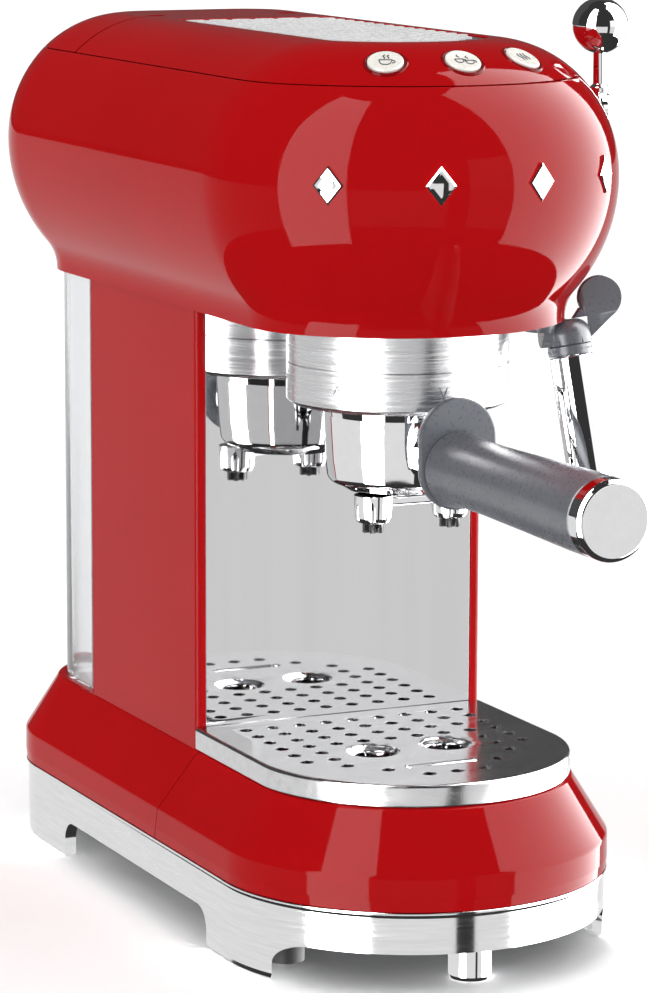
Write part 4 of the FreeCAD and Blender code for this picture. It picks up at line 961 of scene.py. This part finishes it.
class MACHINE_OT_studs(PieceOperator, bpy.types.Operator):
    """Four plain chrome lozenge studs on the bulge"""
    bl_idname = "machine.studs"
    bl_label = "Front Studs"

    def build(self):
        size = sizes()
        outline = head_outline()
        studs = []
        wide, high = 5.2 * MM, 6.5 * MM
        for index in range(4):
            angle = math.radians(-90 + (index - 1.5) * STUD_SPREAD)
            reach = outline.nose + size.bulge_out
            place = at(0, 0, 0) + Vector((reach * math.cos(angle), outline.nose_y + reach * math.sin(angle),
                                          size.bulge_height + 3 * MM))
            matrix = Matrix.Translation(place) @ Matrix.Rotation(angle, 4, "Z")
            builder = bmesh.new()
            rings = []
            for out, share in ((-0.9 * MM, 1.0), (0.35 * MM, 1.0), (0.75 * MM, 0.86), (0.55 * MM, 0.62)):
                corners = [(0, -high), (wide, 0), (0, high), (-wide, 0)]
                rings.append([builder.verts.new(matrix @ Vector((out, across * share, up * share)))
                              for across, up in corners])
            wrap(builder, rings, ends=False)
            peak = builder.verts.new(matrix @ Vector((1.1 * MM, 0, 0)))
            for corner in range(4):
                builder.faces.new([rings[-1][corner], rings[-1][(corner + 1) % 4], peak])
            builder.faces.new(rings[0][::-1])
            studs.append(to_object(f"stud_{index + 1}", builder, 20))
        done(join("chrome_studs", studs), "machine", "chrome", ["front_studs"])


class MACHINE_OT_lid(PieceOperator, bpy.types.Operator):
    """Rear part of the dome, hinged over the tank"""
    bl_idname = "machine.lid"
    bl_label = "Tank Lid"

    def build(self):
        size = sizes()
        low = size.seam_height + SEAM_GAP
        inner = -24 * MM
        seam_out, section = dome_foot(low)
        rim = crown_height(inner)
        section += crown_line(0.0, seam_out - 0.1 * MM, inner, 22)
        section += [(inner, rim - DOME_WALL)]
        section += crown_line(DOME_WALL, inner + 0.5 * MM, seam_out - 3.0 * MM, 10)
        ring = sweep("lid_dome", head_outline(), section)
        cap = plate("lid_cap", head_outline(), inner + 0.2 * MM, rim - DOME_WALL, rim, 0.05 * MM)
        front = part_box("tank_lid")[0].y + 0.5 * MM
        for part in (ring, cap):
            slice_away(part, Vector((0, front, 0)), Vector((0, -1, 0)))
        middle = middle_of("lid_pin")
        notches = []
        for sign in (-1, 1):
            place = Vector((MID_X + sign * 27 * MM, middle.y, middle.z))
            notches.append(bar("notch", place + Vector((-3.4, -4, -5)) * MM,
                               place + Vector((3.4, 5.2, 6)) * MM, 0.3 * MM))
        carve(cap, notches)
        barrels = [lathe(f"lid_barrel_{sign}", [(1.1, 0), (2.3, 0, 0.2), (2.3, 9.6, 0.2), (1.1, 9.6)],
                         Vector((MID_X + (18.8 * sign - 4.8) * MM, middle.y, middle.z)), "X", 32, closed=True)
                   for sign in (-1, 1)]
        done(join("rear_lid", [ring, cap] + barrels), "lid", "enamel", ["tank_lid"])


class MACHINE_OT_base(PieceOperator, bpy.types.Operator):
    """Enamelled skirt: the removable tray's front and the fixed rear housing"""
    bl_idname = "machine.base"
    bl_label = "Base Skirt"

    def skirt(self, name):
        low, top = 29.2, 62.0
        corners = [(13.0, low, 0.3), (13.3, 33, 2), (13.25, 41.0, 3.0), (0.4, 61.5, 1.2), (-1.0, top, 0.4),
                   (-3.0, top), (-3.0, top - 2), (9.3, 42.3, 2), (10.8, 38), (10.6, low)]
        return sweep(name, base_outline(), profile(corners, steps=6), 30)

    def build(self):
        low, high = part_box("tray_front")[0].z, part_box("tray_front")[1].z
        seam_low, seam_high = at(0, 6.5, 0).y, at(0, -3.0, 0).y
        slope = Vector((0, high - low, seam_low - seam_high)).normalized()
        front = self.skirt("tray_skirt")
        slice_away(front, Vector((0, seam_low - 0.35 * MM, low)), slope)
        done(front, "tray", "enamel", ["tray_front"])
        rear = self.skirt("rear_skirt")
        slice_away(rear, Vector((0, seam_low + 0.1 * MM, low)), -slope)
        deck_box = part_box("column_shell")
        deck = plate("rear_deck", base_outline(), -2.0 * MM,
                     deck_box[0].z - 2.7 * MM, deck_box[0].z - 0.2 * MM)
        slice_away(deck, Vector((0, FACE_Y - 0.4 * MM, 0)), Vector((0, -1, 0)))
        middle = middle_of("tank_seat")
        seat_hole = lathe("seat_hole", [(0, -20), (9, -20), (9, 20), (0, 20)],
                          Vector((middle.x, middle.y, deck_box[0].z)), segments=48)
        carve(deck, [seat_hole])
        riser = bar("tray_riser", at(-54, -0.4, 29.4), at(54, 1.6, 59), 0.3 * MM)
        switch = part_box("switch_housing")
        hole = bar("switch_hole", switch[0] - Vector((0.3, 0, 0.3)) * MM,
                   switch[1] + Vector((0.3, 5, 0.3)) * MM, 0.2 * MM)
        inlet_hole = lathe("inlet_hole", [(0, -20), (6.5, -20), (6.5, 20), (0, 20)],
                           middle_of("cord_inlet"), "-Y", 48)
        carve(rear, [hole, inlet_hole])
        whole = join("rear_housing", [rear, deck, riser])
        done(whole, "machine", "enamel", ["base_housing"])
        dress({"tray_bin": "black"})


class MACHINE_OT_base_ring(PieceOperator, bpy.types.Operator):
    """Satin chrome ring with its four cut-away feet, and the round front leg"""
    bl_idname = "machine.base_ring"
    bl_label = "Chrome Ring"

    def arch(self, name, low, high, across, along):
        """Solid with rounded upper corners that cuts between two feet."""
        top, radius = 14.4, 13.0 if along == "X" else 9.1
        corners = [(low, -2), (low, top, radius), (high, top, radius), (high, -2)]
        line = profile(corners, steps=10)
        builder = bmesh.new()
        sides = []
        for far in across:
            ring = []
            for spot in line:
                x, y = (far, spot.x / MM) if along == "X" else (spot.x / MM, far)
                ring.append(builder.verts.new(at(x, y, spot.y / MM)))
            sides.append(ring)
        wrap(builder, sides)
        return to_object(name, builder)

    def build(self):
        corners = [(7.8, 0.6, 0.3), (11.9, 0.6, 0.4), (12.3, 2.4, 1), (12.3, 27.0, 0.3), (12.7, 27.7, 0.3),
                   (13.2, 28.1, 0.3), (13.2, 29.0, 0.3), (9.8, 29.0), (9.8, 14.4), (7.8, 14.4)]
        ring = sweep("chrome_band", base_outline(), profile(corners, steps=3), 30)
        cutters = [self.arch("side_gap", -39, 98, (-90, 90), "X"),
                   self.arch("front_gap", -64, 64, (-180, -74), "Y"),
                   self.arch("rear_gap", -36, 36, (140, 220), "Y")]
        done(carve(ring, cutters, 30), "machine", "chrome_satin", ["base_ring"])
        middle = middle_of("front_leg")
        leg = lathe("front_round_leg", [(0, 0), (6.9, 0, 0.4), (7.5, 1.4, 0.5), (7.5, 16), (0, 16)],
                    Vector((middle.x, middle.y, 0)), segments=64)
        done(leg, "machine", "chrome", ["front_leg"])
        dress({"base_floor": "black", "base_frame": "black", "base_screws": "steel", "foot_pads": "rubber"})


class MACHINE_OT_column(PieceOperator, bpy.types.Operator):
    """Enamelled column and its mirror-finished splash panel"""
    bl_idname = "machine.column"
    bl_label = "Column"

    def build(self):
        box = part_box("column_shell")
        half = (box[1].x - box[0].x) / 2
        depth = box[1].y - FACE_Y
        wall, inside, nose, rounding = 2.5 * MM, 3.9 * MM, -0.5 * MM, 1.8 * MM
        panel_half, panel_depth, panel_edge = 52.8 * MM, 1.3 * MM, 0.2 * MM
        corners = [(-half, depth), (-half, nose, rounding), (-panel_half, nose, panel_edge),
                   (-panel_half, panel_depth), (panel_half, panel_depth), (panel_half, nose, panel_edge),
                   (half, nose, rounding), (half, depth), (half - wall, depth), (half - wall, inside),
                   (wall - half, inside), (wall - half, depth)]
        builder = bmesh.new()
        line = soften(corners, True, 5)
        rings = [[builder.verts.new(Vector((MID_X + spot.x, FACE_Y + spot.y, height))) for spot in line]
                 for height in (box[0].z, box[1].z)]
        wrap(builder, rings)
        done(to_object("column_skin", builder), "machine", "enamel", ["column_shell"])
        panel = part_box("splash_panel")
        mirror = bar("splash_mirror", panel[0], panel[1], 0.25 * MM)
        done(mirror, "machine", "mirror", ["splash_panel"])
        dress({"column_back": "black"})


class MACHINE_OT_group(PieceOperator, bpy.types.Operator):
    """Turned steel collar with its two lock marks, and the casting inside"""
    bl_idname = "machine.group"
    bl_label = "Brew Group"

    def build(self):
        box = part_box("group_collar")
        low, high = box[0].z / MM, box[1].z / MM
        collar = lathe("steel_collar", [
            (36.3, low), (37.4, low, 0.5), (38.8, low + 1.4, 0.9), (38.8, low + 14.3, 0.2),
            (38.55, low + 14.5), (38.8, low + 14.7, 0.2), (38.8, high), (36.3, high)],
            GROUP, segments=144, closed=True)
        done(collar, "machine", "collar", ["group_collar"])
        marks = []
        for index, (angle, sign) in enumerate(((-92.0, -1), (-147.6, 1))):
            turn = math.radians(angle)
            matrix = (Matrix.Translation(GROUP + Vector((0, 0, 199.5 * MM))) @ Matrix.Rotation(turn, 4, "Z")
                      @ Matrix.Translation((38.75 * MM, 0, 0)) @ Matrix.Rotation(math.radians(90), 4, "Z")
                      @ Matrix.Rotation(math.radians(90), 4, "X"))
            arrow = [(-1.5, -1.6 * sign), (0, 1.6 * sign), (1.5, -1.6 * sign)]
            marks.append(wire(f"lock_mark_{index + 1}", [arrow], 0.22, matrix))
        done(join("lock_marks", marks), "machine", "ink")
        dress({"group_casting": "cast", "group_gasket": "rubber", "shower_screen": "steel",
               "screen_screw": "steel", "bayonet_ring": "steel"})


class MACHINE_OT_portafilter(PieceOperator, bpy.types.Operator):
    """Chromed bowl, basket, twin spouts and star nozzles"""
    bl_idname = "machine.portafilter"
    bl_label = "Portafilter"

    def build(self):
        bowl = lathe("chrome_bowl", [
            (0, 161), (19, 161, 1.5), (24.3, 164.2, 3.5), (25.2, 171, 3), (26.2, 187.5, 1),
            (27.3, 192.2, 0.4), (29.7, 193.8, 0.4), (29.7, 197.6, 0.3), (25.2, 197.6), (23.4, 173),
            (20, 166), (0, 165)],
            GROUP, segments=128)
        boss = lathe("bowl_boss", [(0, 24.2), (7.5, 24.2), (7.5, 36, 0.5), (0, 36)],
                     HANDLE, "-Y", 64)
        lugs = [bar(f"lug_{sign}", GROUP + Vector((30.6 * sign - 2.8, -8, 193.4)) * MM,
                    GROUP + Vector((30.6 * sign + 2.8, 8, 197)) * MM, 0.5 * MM) for sign in (-1, 1)]
        done(join("bowl", [bowl, boss] + lugs), "portafilter", "chrome", ["portafilter_bowl"])
        dress({"filter_basket": "steel"})
        spouts = []
        for sign in (-1, 1):
            place = GROUP + Vector((14.8 * sign, -12, 0)) * MM
            spouts.append(lathe(f"spout_{sign}", [
                (0, 151.5), (5.4, 151.5, 0.4), (6.2, 153.2, 0.6), (6.5, 156.5, 0.5), (6.7, 161), (0, 161)],
                place, segments=64))
            for ray in range(0, 360, 60):
                angle = math.radians(ray)
                spot = place + Vector((5.0 * math.cos(angle), 5.0 * math.sin(angle), 0)) * MM
                spouts.append(lathe(f"spout_bead_{sign}_{ray}", [
                    (0, 151.9), (1.5, 152.2, 0.6), (1.9, 156.5, 1), (1.5, 160.8), (0, 161)],
                    spot, segments=20))
        bridge = bar("spout_bridge", GROUP + Vector((-14.8, -16, 157)) * MM,
                     GROUP + Vector((14.8, -8, 161)) * MM, 1.2 * MM)
        done(join("twin_spouts", spouts + [bridge]), "portafilter", "chrome", ["spouts"])
        stars = copy_node("star_nozzles", "spout_nozzles")
        done(stars, "portafilter", "black", ["spout_nozzles"])


class MACHINE_OT_handle(PieceOperator, bpy.types.Operator):
    """Slate grip with its guard, chrome ferrule and end cap"""
    bl_idname = "machine.handle"
    bl_label = "Handle"

    def build(self):
        place = HANDLE
        ferrule = lathe("chrome_ferrule", [(0, 36.1), (8.0, 36.1, 0.3), (8.8, 37.8, 0.8), (10.9, 40.6, 0.8),
                                           (10.9, 44.8), (0, 44.8)], place, "-Y", 72)
        done(ferrule, "portafilter", "chrome", ["handle_ferrule"])
        builder = bmesh.new()
        half, rise = 14.3, 10.0
        line = []
        for start, centre in ((180, 0), (0, rise)):
            line += [(half * math.cos(math.radians(start + step * 180 / 28)),
                      centre + half * math.sin(math.radians(start + step * 180 / 28))) for step in range(29)]
        rings = []
        for depth, grow in ((45.0, -0.9), (45.35, -0.25), (46.0, 0), (47.2, 0), (47.85, -0.25), (48.2, -0.9)):
            wider, taller = 1 + grow / half, 1 + grow / (half + rise / 2)
            rings.append([builder.verts.new(place + Vector((
                across * wider, -depth, rise / 2 + (up - rise / 2) * taller)) * MM) for across, up in line])
        wrap(builder, rings)
        done(to_object("hand_guard", builder), "portafilter", "slate", ["handle_guard"])
        grip = lathe("slate_grip", [
            (0, 48.3), (13.2, 48.3, 0.8), (12.9, 51.5, 2), (12.1, 60, 12), (12.0, 75, 30), (12.6, 105, 30),
            (13.4, 138, 10), (13.4, 150.4, 0.3), (12.9, 151), (0, 151)], place, "-Y", 120, steps=6)
        done(grip, "portafilter", "slate", ["handle_grip"])
        cap = lathe("chrome_end_cap", [
            (0, 151.1), (12.9, 151.1), (13.4, 151.5, 0.2), (13.4, 156.6, 1.4), (12.1, 158.0, 1.0),
            (0, 158.0)], place, "-Y", 120, steps=6)
        done(cap, "portafilter", "chrome", ["handle_cap"])


class MACHINE_OT_lever(PieceOperator, bpy.types.Operator):
    """Steam lever: hub, rod and ball"""
    bl_idname = "machine.lever"
    bl_label = "Steam Lever"

    def build(self):
        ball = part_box("lever_ball")
        centre = middle_of("lever_ball")
        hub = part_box("lever_hub")
        axis = Vector((0, (hub[0].y + hub[1].y) / 2, (hub[0].z + hub[1].z) / 2))
        radius = (ball[1].x - ball[0].x) / 2 / MM
        angles = [math.pi * step / 40 for step in range(41)]
        arc = [(radius * math.sin(angle), -radius * math.cos(angle)) for angle in angles]
        arc[0], arc[-1] = (0, -radius), (0, radius)
        done(lathe("lever_knob", arc, centre, segments=80), "lever", "chrome", ["lever_ball"])
        low, high = hub[0].x / MM, hub[1].x / MM
        dome = lathe("lever_boss", [(0, low), (6.0, low, 0.3), (6.4, low + 0.8, 0.4), (6.4, high - 3.7, 1.0),
                                    (5.4, high - 1.7, 1.2), (3.2, high - 0.4, 1.0), (0, high)], axis, "X", 64)
        done(dome, "lever", "chrome", ["lever_hub"])
        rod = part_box("lever_rod")
        low, high = rod[0].z / MM, rod[1].z / MM
        stem = lathe("lever_stem", [(0, low), (3.4, low - 0.6), (3.4, low + 1.2, 0.5), (2.25, low + 2.2, 0.3),
                                    (2.25, high), (0, high)], Vector((centre.x, centre.y, 0)), segments=40)
        done(stem, "lever", "chrome", ["lever_rod"])
        dress({"lever_shaft": "steel"})


class MACHINE_OT_wand(PieceOperator, bpy.types.Operator):
    """Steam wand: slate elbow, tab and ring, steel tube and chrome sleeve"""
    bl_idname = "machine.wand"
    bl_label = "Steam Wand"

    def build(self):
        joint = [item for item in frame["joints"] if item["name"] == "sleeve_pull"][0]
        down = Vector(joint["axis"]).normalized()
        turn = (-down).to_track_quat("Z", "Y").to_matrix().to_4x4()
        swing, reach = math.radians(-14.7), 9.6
        socket_x, socket_y, elbow_z = 46, -66, 214
        centre = at(socket_x + reach * math.cos(swing), socket_y + reach * math.sin(swing), elbow_z)
        sleeve = lathe("chrome_sleeve", [
            (3.1, -64.2), (5.4, -64.2, 0.5), (7.6, -62.2, 1.4), (7.6, -7.6, 0.3), (7.2, -7.2), (6.4, -7.2),
            (6.4, -9.6), (6.4, -61.8), (3.1, -62.0)], centre, turn=turn, segments=96, closed=True)
        done(sleeve, "sleeve", "chrome", ["wand_sleeve"])
        done(copy_node("wand_knuckle", "wand_elbow", 50), "wand", "slate", ["wand_elbow"])
        done(copy_node("wand_thumb_tab", "wand_tab", 40), "wand", "slate", ["wand_tab"])
        ring = lathe("wand_nut", [(3.1, -6.9), (7.4, -6.9, 0.3), (7.7, -6.5, 0.3), (7.7, -3.7, 0.3),
                                  (7.3, -3.3, 0.3), (3.1, -3.3)], centre, turn=turn, segments=72, closed=True)
        done(ring, "wand", "slate", ["wand_ring"])
        holder = link("wand_nut_ridges", bpy.data.meshes.new("wand_nut_ridges"))
        ridges = run_tree(holder, ridge_tree(), {
            "Radius": 7.6 * MM, "Count": 36, "Ridge": (0.5 * MM, 0.5 * MM, 0.6 * MM),
            "Material": FINISHES["slate"]})
        ridges.data.transform(Matrix.Translation(centre) @ turn @ Matrix.Translation((0, 0, -5.1 * MM)))
        done(ridges, "wand", None)
        dress({"wand_tube": "steel", "wand_socket": "slate"})


class MACHINE_OT_drip_plate(PieceOperator, bpy.types.Operator):
    """Steel drip plate with pressed drain rims and bevelled cup holes"""
    bl_idname = "machine.drip_plate"
    bl_label = "Drip Plate"

    def drain_points(self):
        """Places of the drain holes, in millimetres: rows that leave room for the two cup holes."""
        pitch = 10.5
        spots = []
        for row in range(7):
            columns = range(-4, 5) if row < 4 else (-4, -3, 3, 4) if row < 6 else (-3, 3)
            spots += [(column * pitch, -11.5 - row * pitch) for column in columns]
        return spots + [(-21, -85.4), (21, -85.4), (-10.5, -96), (0, -96.2), (10.5, -96)]

    def build(self):
        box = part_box("drip_plate")
        top = box[1].z
        done(copy_node("drain_plate", "drip_plate", 30), "plate", "plate", ["drip_plate"])
        holder = link("drain_rims", bpy.data.meshes.new("drain_rims"))
        holder.data.from_pydata([at(x, y, top / MM - 0.12) for x, y in self.drain_points()], [], [])
        rims = run_tree(holder, torus_tree(), {"Hole Radius": 2.5 * MM, "Rim Width": 0.16 * MM,
                                               "Material": FINISHES["chrome"]})
        done(rims, "plate", None)
        cups = [lathe(f"cup_hole_{sign}", [
            (7.2, -1.7), (9.5, -0.25, 0.2), (9.9, -0.02, 0.15), (9.4, 0.0), (7.5, -1.2, 0.6), (7.0, -3.2),
            (6.6, -3.2), (6.7, -1.7)], at(14 * sign, -58.5, top / MM), segments=96, closed=True)
            for sign in (-1, 1)]
        done(join("cup_hole_rims", cups), "plate", "chrome")
        level = copy_node("level_float", "float_indicator", 30)
        done(level, "float", "chrome", ["float_indicator"])


class MACHINE_OT_tank(PieceOperator, bpy.types.Operator):
    """Clear water tank with its valve and lid pin"""
    bl_idname = "machine.tank"
    bl_label = "Water Tank"

    def build(self):
        done(copy_node("clear_water_tank", "water_tank", 30), "tank", "clear", ["water_tank"])
        dress({"tank_valve": "black", "tank_seat": "black", "lid_pin": "steel"})


class MACHINE_OT_works(PieceOperator, bpy.types.Operator):
    """Pump, boiler, hoses, board and the rear switch and inlet"""
    bl_idname = "machine.works"
    bl_label = "Inner Works"

    def build(self):
        dress({"boiler": "cast", "steam_valve": "brass", "pump": "pump", "pump_mounts": "rubber",
               "hoses": "rubber", "control_board": "board", "switch_housing": "black",
               "power_rocker": "black", "cord_inlet": "black"})


class MACHINE_OT_stage(PieceOperator, bpy.types.Operator):
    """Pale floor, white room and the camera"""
    bl_idname = "machine.stage"
    bl_label = "Studio"

    # Lit rectangles that reflections see: azimuth from the front, elevation, half width and
    # half height in degrees, and brightness
    LIGHTS = (
        (-65.5, 16.5, 18.5, 53.5, 12.0),    # tall softbox on the left
        (79.0, 18.0, 41.0, 52.0, 11.0),     # wide softbox on the right
        (180.0, 27.0, 50.0, 27.0, 0.08),    # dim wall behind
        (-88.5, -14.0, 91.5, 12.0, 0.88),   # low band round the left
        (97.0, -14.0, 83.0, 12.0, 0.88),    # low band round the right
        (26.0, 9.0, 12.0, 11.0, 1.25))      # card that the drip plate shows
    SKY_LIFT = 0.22
    FLOOR_HALF = 9.0

    def room(self, stage):
        """White room: even soft light, and a darker one with lit rectangles for the reflections."""
        world = bpy.data.worlds.new("studio")
        bpy.context.scene.world = world
        world.use_nodes = True
        world.cycles.sampling_method = "NONE"
        nodes, links = world.node_tree.nodes, world.node_tree.links
        work = partial(maths, nodes, links)
        way = nodes.new("ShaderNodeSeparateXYZ")
        links.new(nodes.new("ShaderNodeTexCoord").outputs["Generated"], way.inputs[0])
        across, back, height = way.outputs
        elevation = work("ARCSINE", height)
        azimuth = work("ARCTAN2", across, work("MULTIPLY", back, -1.0))
        gloss = stage.room_dark
        for middle, level, half_width, half_height, strength in self.LIGHTS:
            turn = work("ABSOLUTE", work("SUBTRACT", azimuth, math.radians(middle)))
            turn = work("MINIMUM", turn, work("SUBTRACT", 2 * math.pi, turn))
            beside = work("LESS_THAN", turn, math.radians(half_width))
            above = work("COMPARE", elevation, math.radians(level), math.radians(half_height))
            gloss = work("MAXIMUM", work("MULTIPLY", work("MULTIPLY", beside, above), strength), gloss)
        soft = work("MULTIPLY_ADD", height, self.SKY_LIFT, stage.room_light)
        path = nodes.new("ShaderNodeLightPath")
        chosen = work("MULTIPLY_ADD", path.outputs["Is Glossy Ray"], work("SUBTRACT", gloss, soft), soft)
        plain = work("MAXIMUM", path.outputs["Is Camera Ray"], path.outputs["Is Transmission Ray"])
        chosen = work("MULTIPLY_ADD", plain, work("SUBTRACT", 1.0, chosen), chosen)
        links.new(chosen, nodes["Background"].inputs["Strength"])
        nodes["Background"].inputs["Color"].default_value = (1, 1, 1, 1)

    def build(self):
        stage = bpy.context.scene.machine_stage
        builder = bmesh.new()
        bmesh.ops.create_grid(builder, x_segments=1, y_segments=1, size=self.FLOOR_HALF)
        floor = to_object("floor", builder)
        material, nodes, links, bsdf, coords = shader("pale_floor")
        grey = (stage.floor_grey,) * 3
        cloud = noise(nodes, links, coords.outputs["Object"], 3.0)
        links.new(ramp(nodes, links, cloud, tinted(grey, 0.995), grey), bsdf.inputs["Base Color"])
        bsdf.inputs["Roughness"].default_value = 0.9
        bsdf.inputs["Specular IOR Level"].default_value = 0.1
        floor.data.materials.append(material)
        floor.visible_glossy = False
        self.room(stage)
        bpy.context.scene.view_settings.view_transform = "Standard"
        camera = bpy.data.cameras.new("camera")
        camera.sensor_fit = "VERTICAL"
        camera.sensor_height = 36.0
        camera.lens = stage.lens
        camera.clip_end = 50.0
        holder = link("camera", camera)
        yaw, pitch, roll = stage.camera_yaw, stage.camera_pitch, stage.camera_roll
        ahead = Vector((math.sin(yaw) * math.cos(pitch), math.cos(yaw) * math.cos(pitch), -math.sin(pitch)))
        right = Vector((math.cos(yaw), -math.sin(yaw), 0))
        up = right.cross(ahead)
        turn = Matrix((right, up, -ahead)).transposed().to_4x4() @ Matrix.Rotation(roll, 4, "Z")
        holder.matrix_world = Matrix.Translation(at(*(Vector(stage.camera_place) / MM))) @ turn
        bpy.context.scene.camera = holder


def dress(finishes):
    """Gives their material to the CAD nodes that stay in sight."""
    for node, finish in finishes.items():
        piece = frame["nodes"][node]
        piece.data.materials.clear()
        piece.data.materials.append(FINISHES[finish])


# ---------------------------------------------------------------- panel and registration

PIECES = (MACHINE_OT_head, MACHINE_OT_cover, MACHINE_OT_cup_rest, MACHINE_OT_buttons, MACHINE_OT_studs,
          MACHINE_OT_lid, MACHINE_OT_column, MACHINE_OT_base, MACHINE_OT_base_ring, MACHINE_OT_group,
          MACHINE_OT_portafilter, MACHINE_OT_handle, MACHINE_OT_lever, MACHINE_OT_wand, MACHINE_OT_drip_plate,
          MACHINE_OT_tank, MACHINE_OT_works, MACHINE_OT_stage)


class MACHINE_PT_panel(bpy.types.Panel):
    """Lists the machine's pieces in the sidebar"""
    bl_label = "Espresso Machine"
    bl_idname = "MACHINE_PT_panel"
    bl_space_type = "VIEW_3D"
    bl_region_type = "UI"
    bl_category = "Espresso"

    def draw(self, context):
        for piece in PIECES:
            self.layout.operator(piece.bl_idname)


GROUPS = (MachineSizes, MachineColours, StageSizes)


def register():
    for item in GROUPS + PIECES + (MACHINE_PT_panel,):
        bpy.utils.register_class(item)
    bpy.types.Scene.machine_sizes = PointerProperty(type=MachineSizes)
    bpy.types.Scene.machine_colours = PointerProperty(type=MachineColours)
    bpy.types.Scene.machine_stage = PointerProperty(type=StageSizes)


def unregister():
    del bpy.types.Scene.machine_stage
    del bpy.types.Scene.machine_colours
    del bpy.types.Scene.machine_sizes
    for item in reversed(GROUPS + PIECES + (MACHINE_PT_panel,)):
        bpy.utils.unregister_class(item)


def main():
    """Registers the add-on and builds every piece."""
    register()
    make_finishes()
    for piece in PIECES:
        group, name = piece.bl_idname.split(".")
        getattr(getattr(bpy.ops, group), name)()


if __name__ == "__main__":
    main()
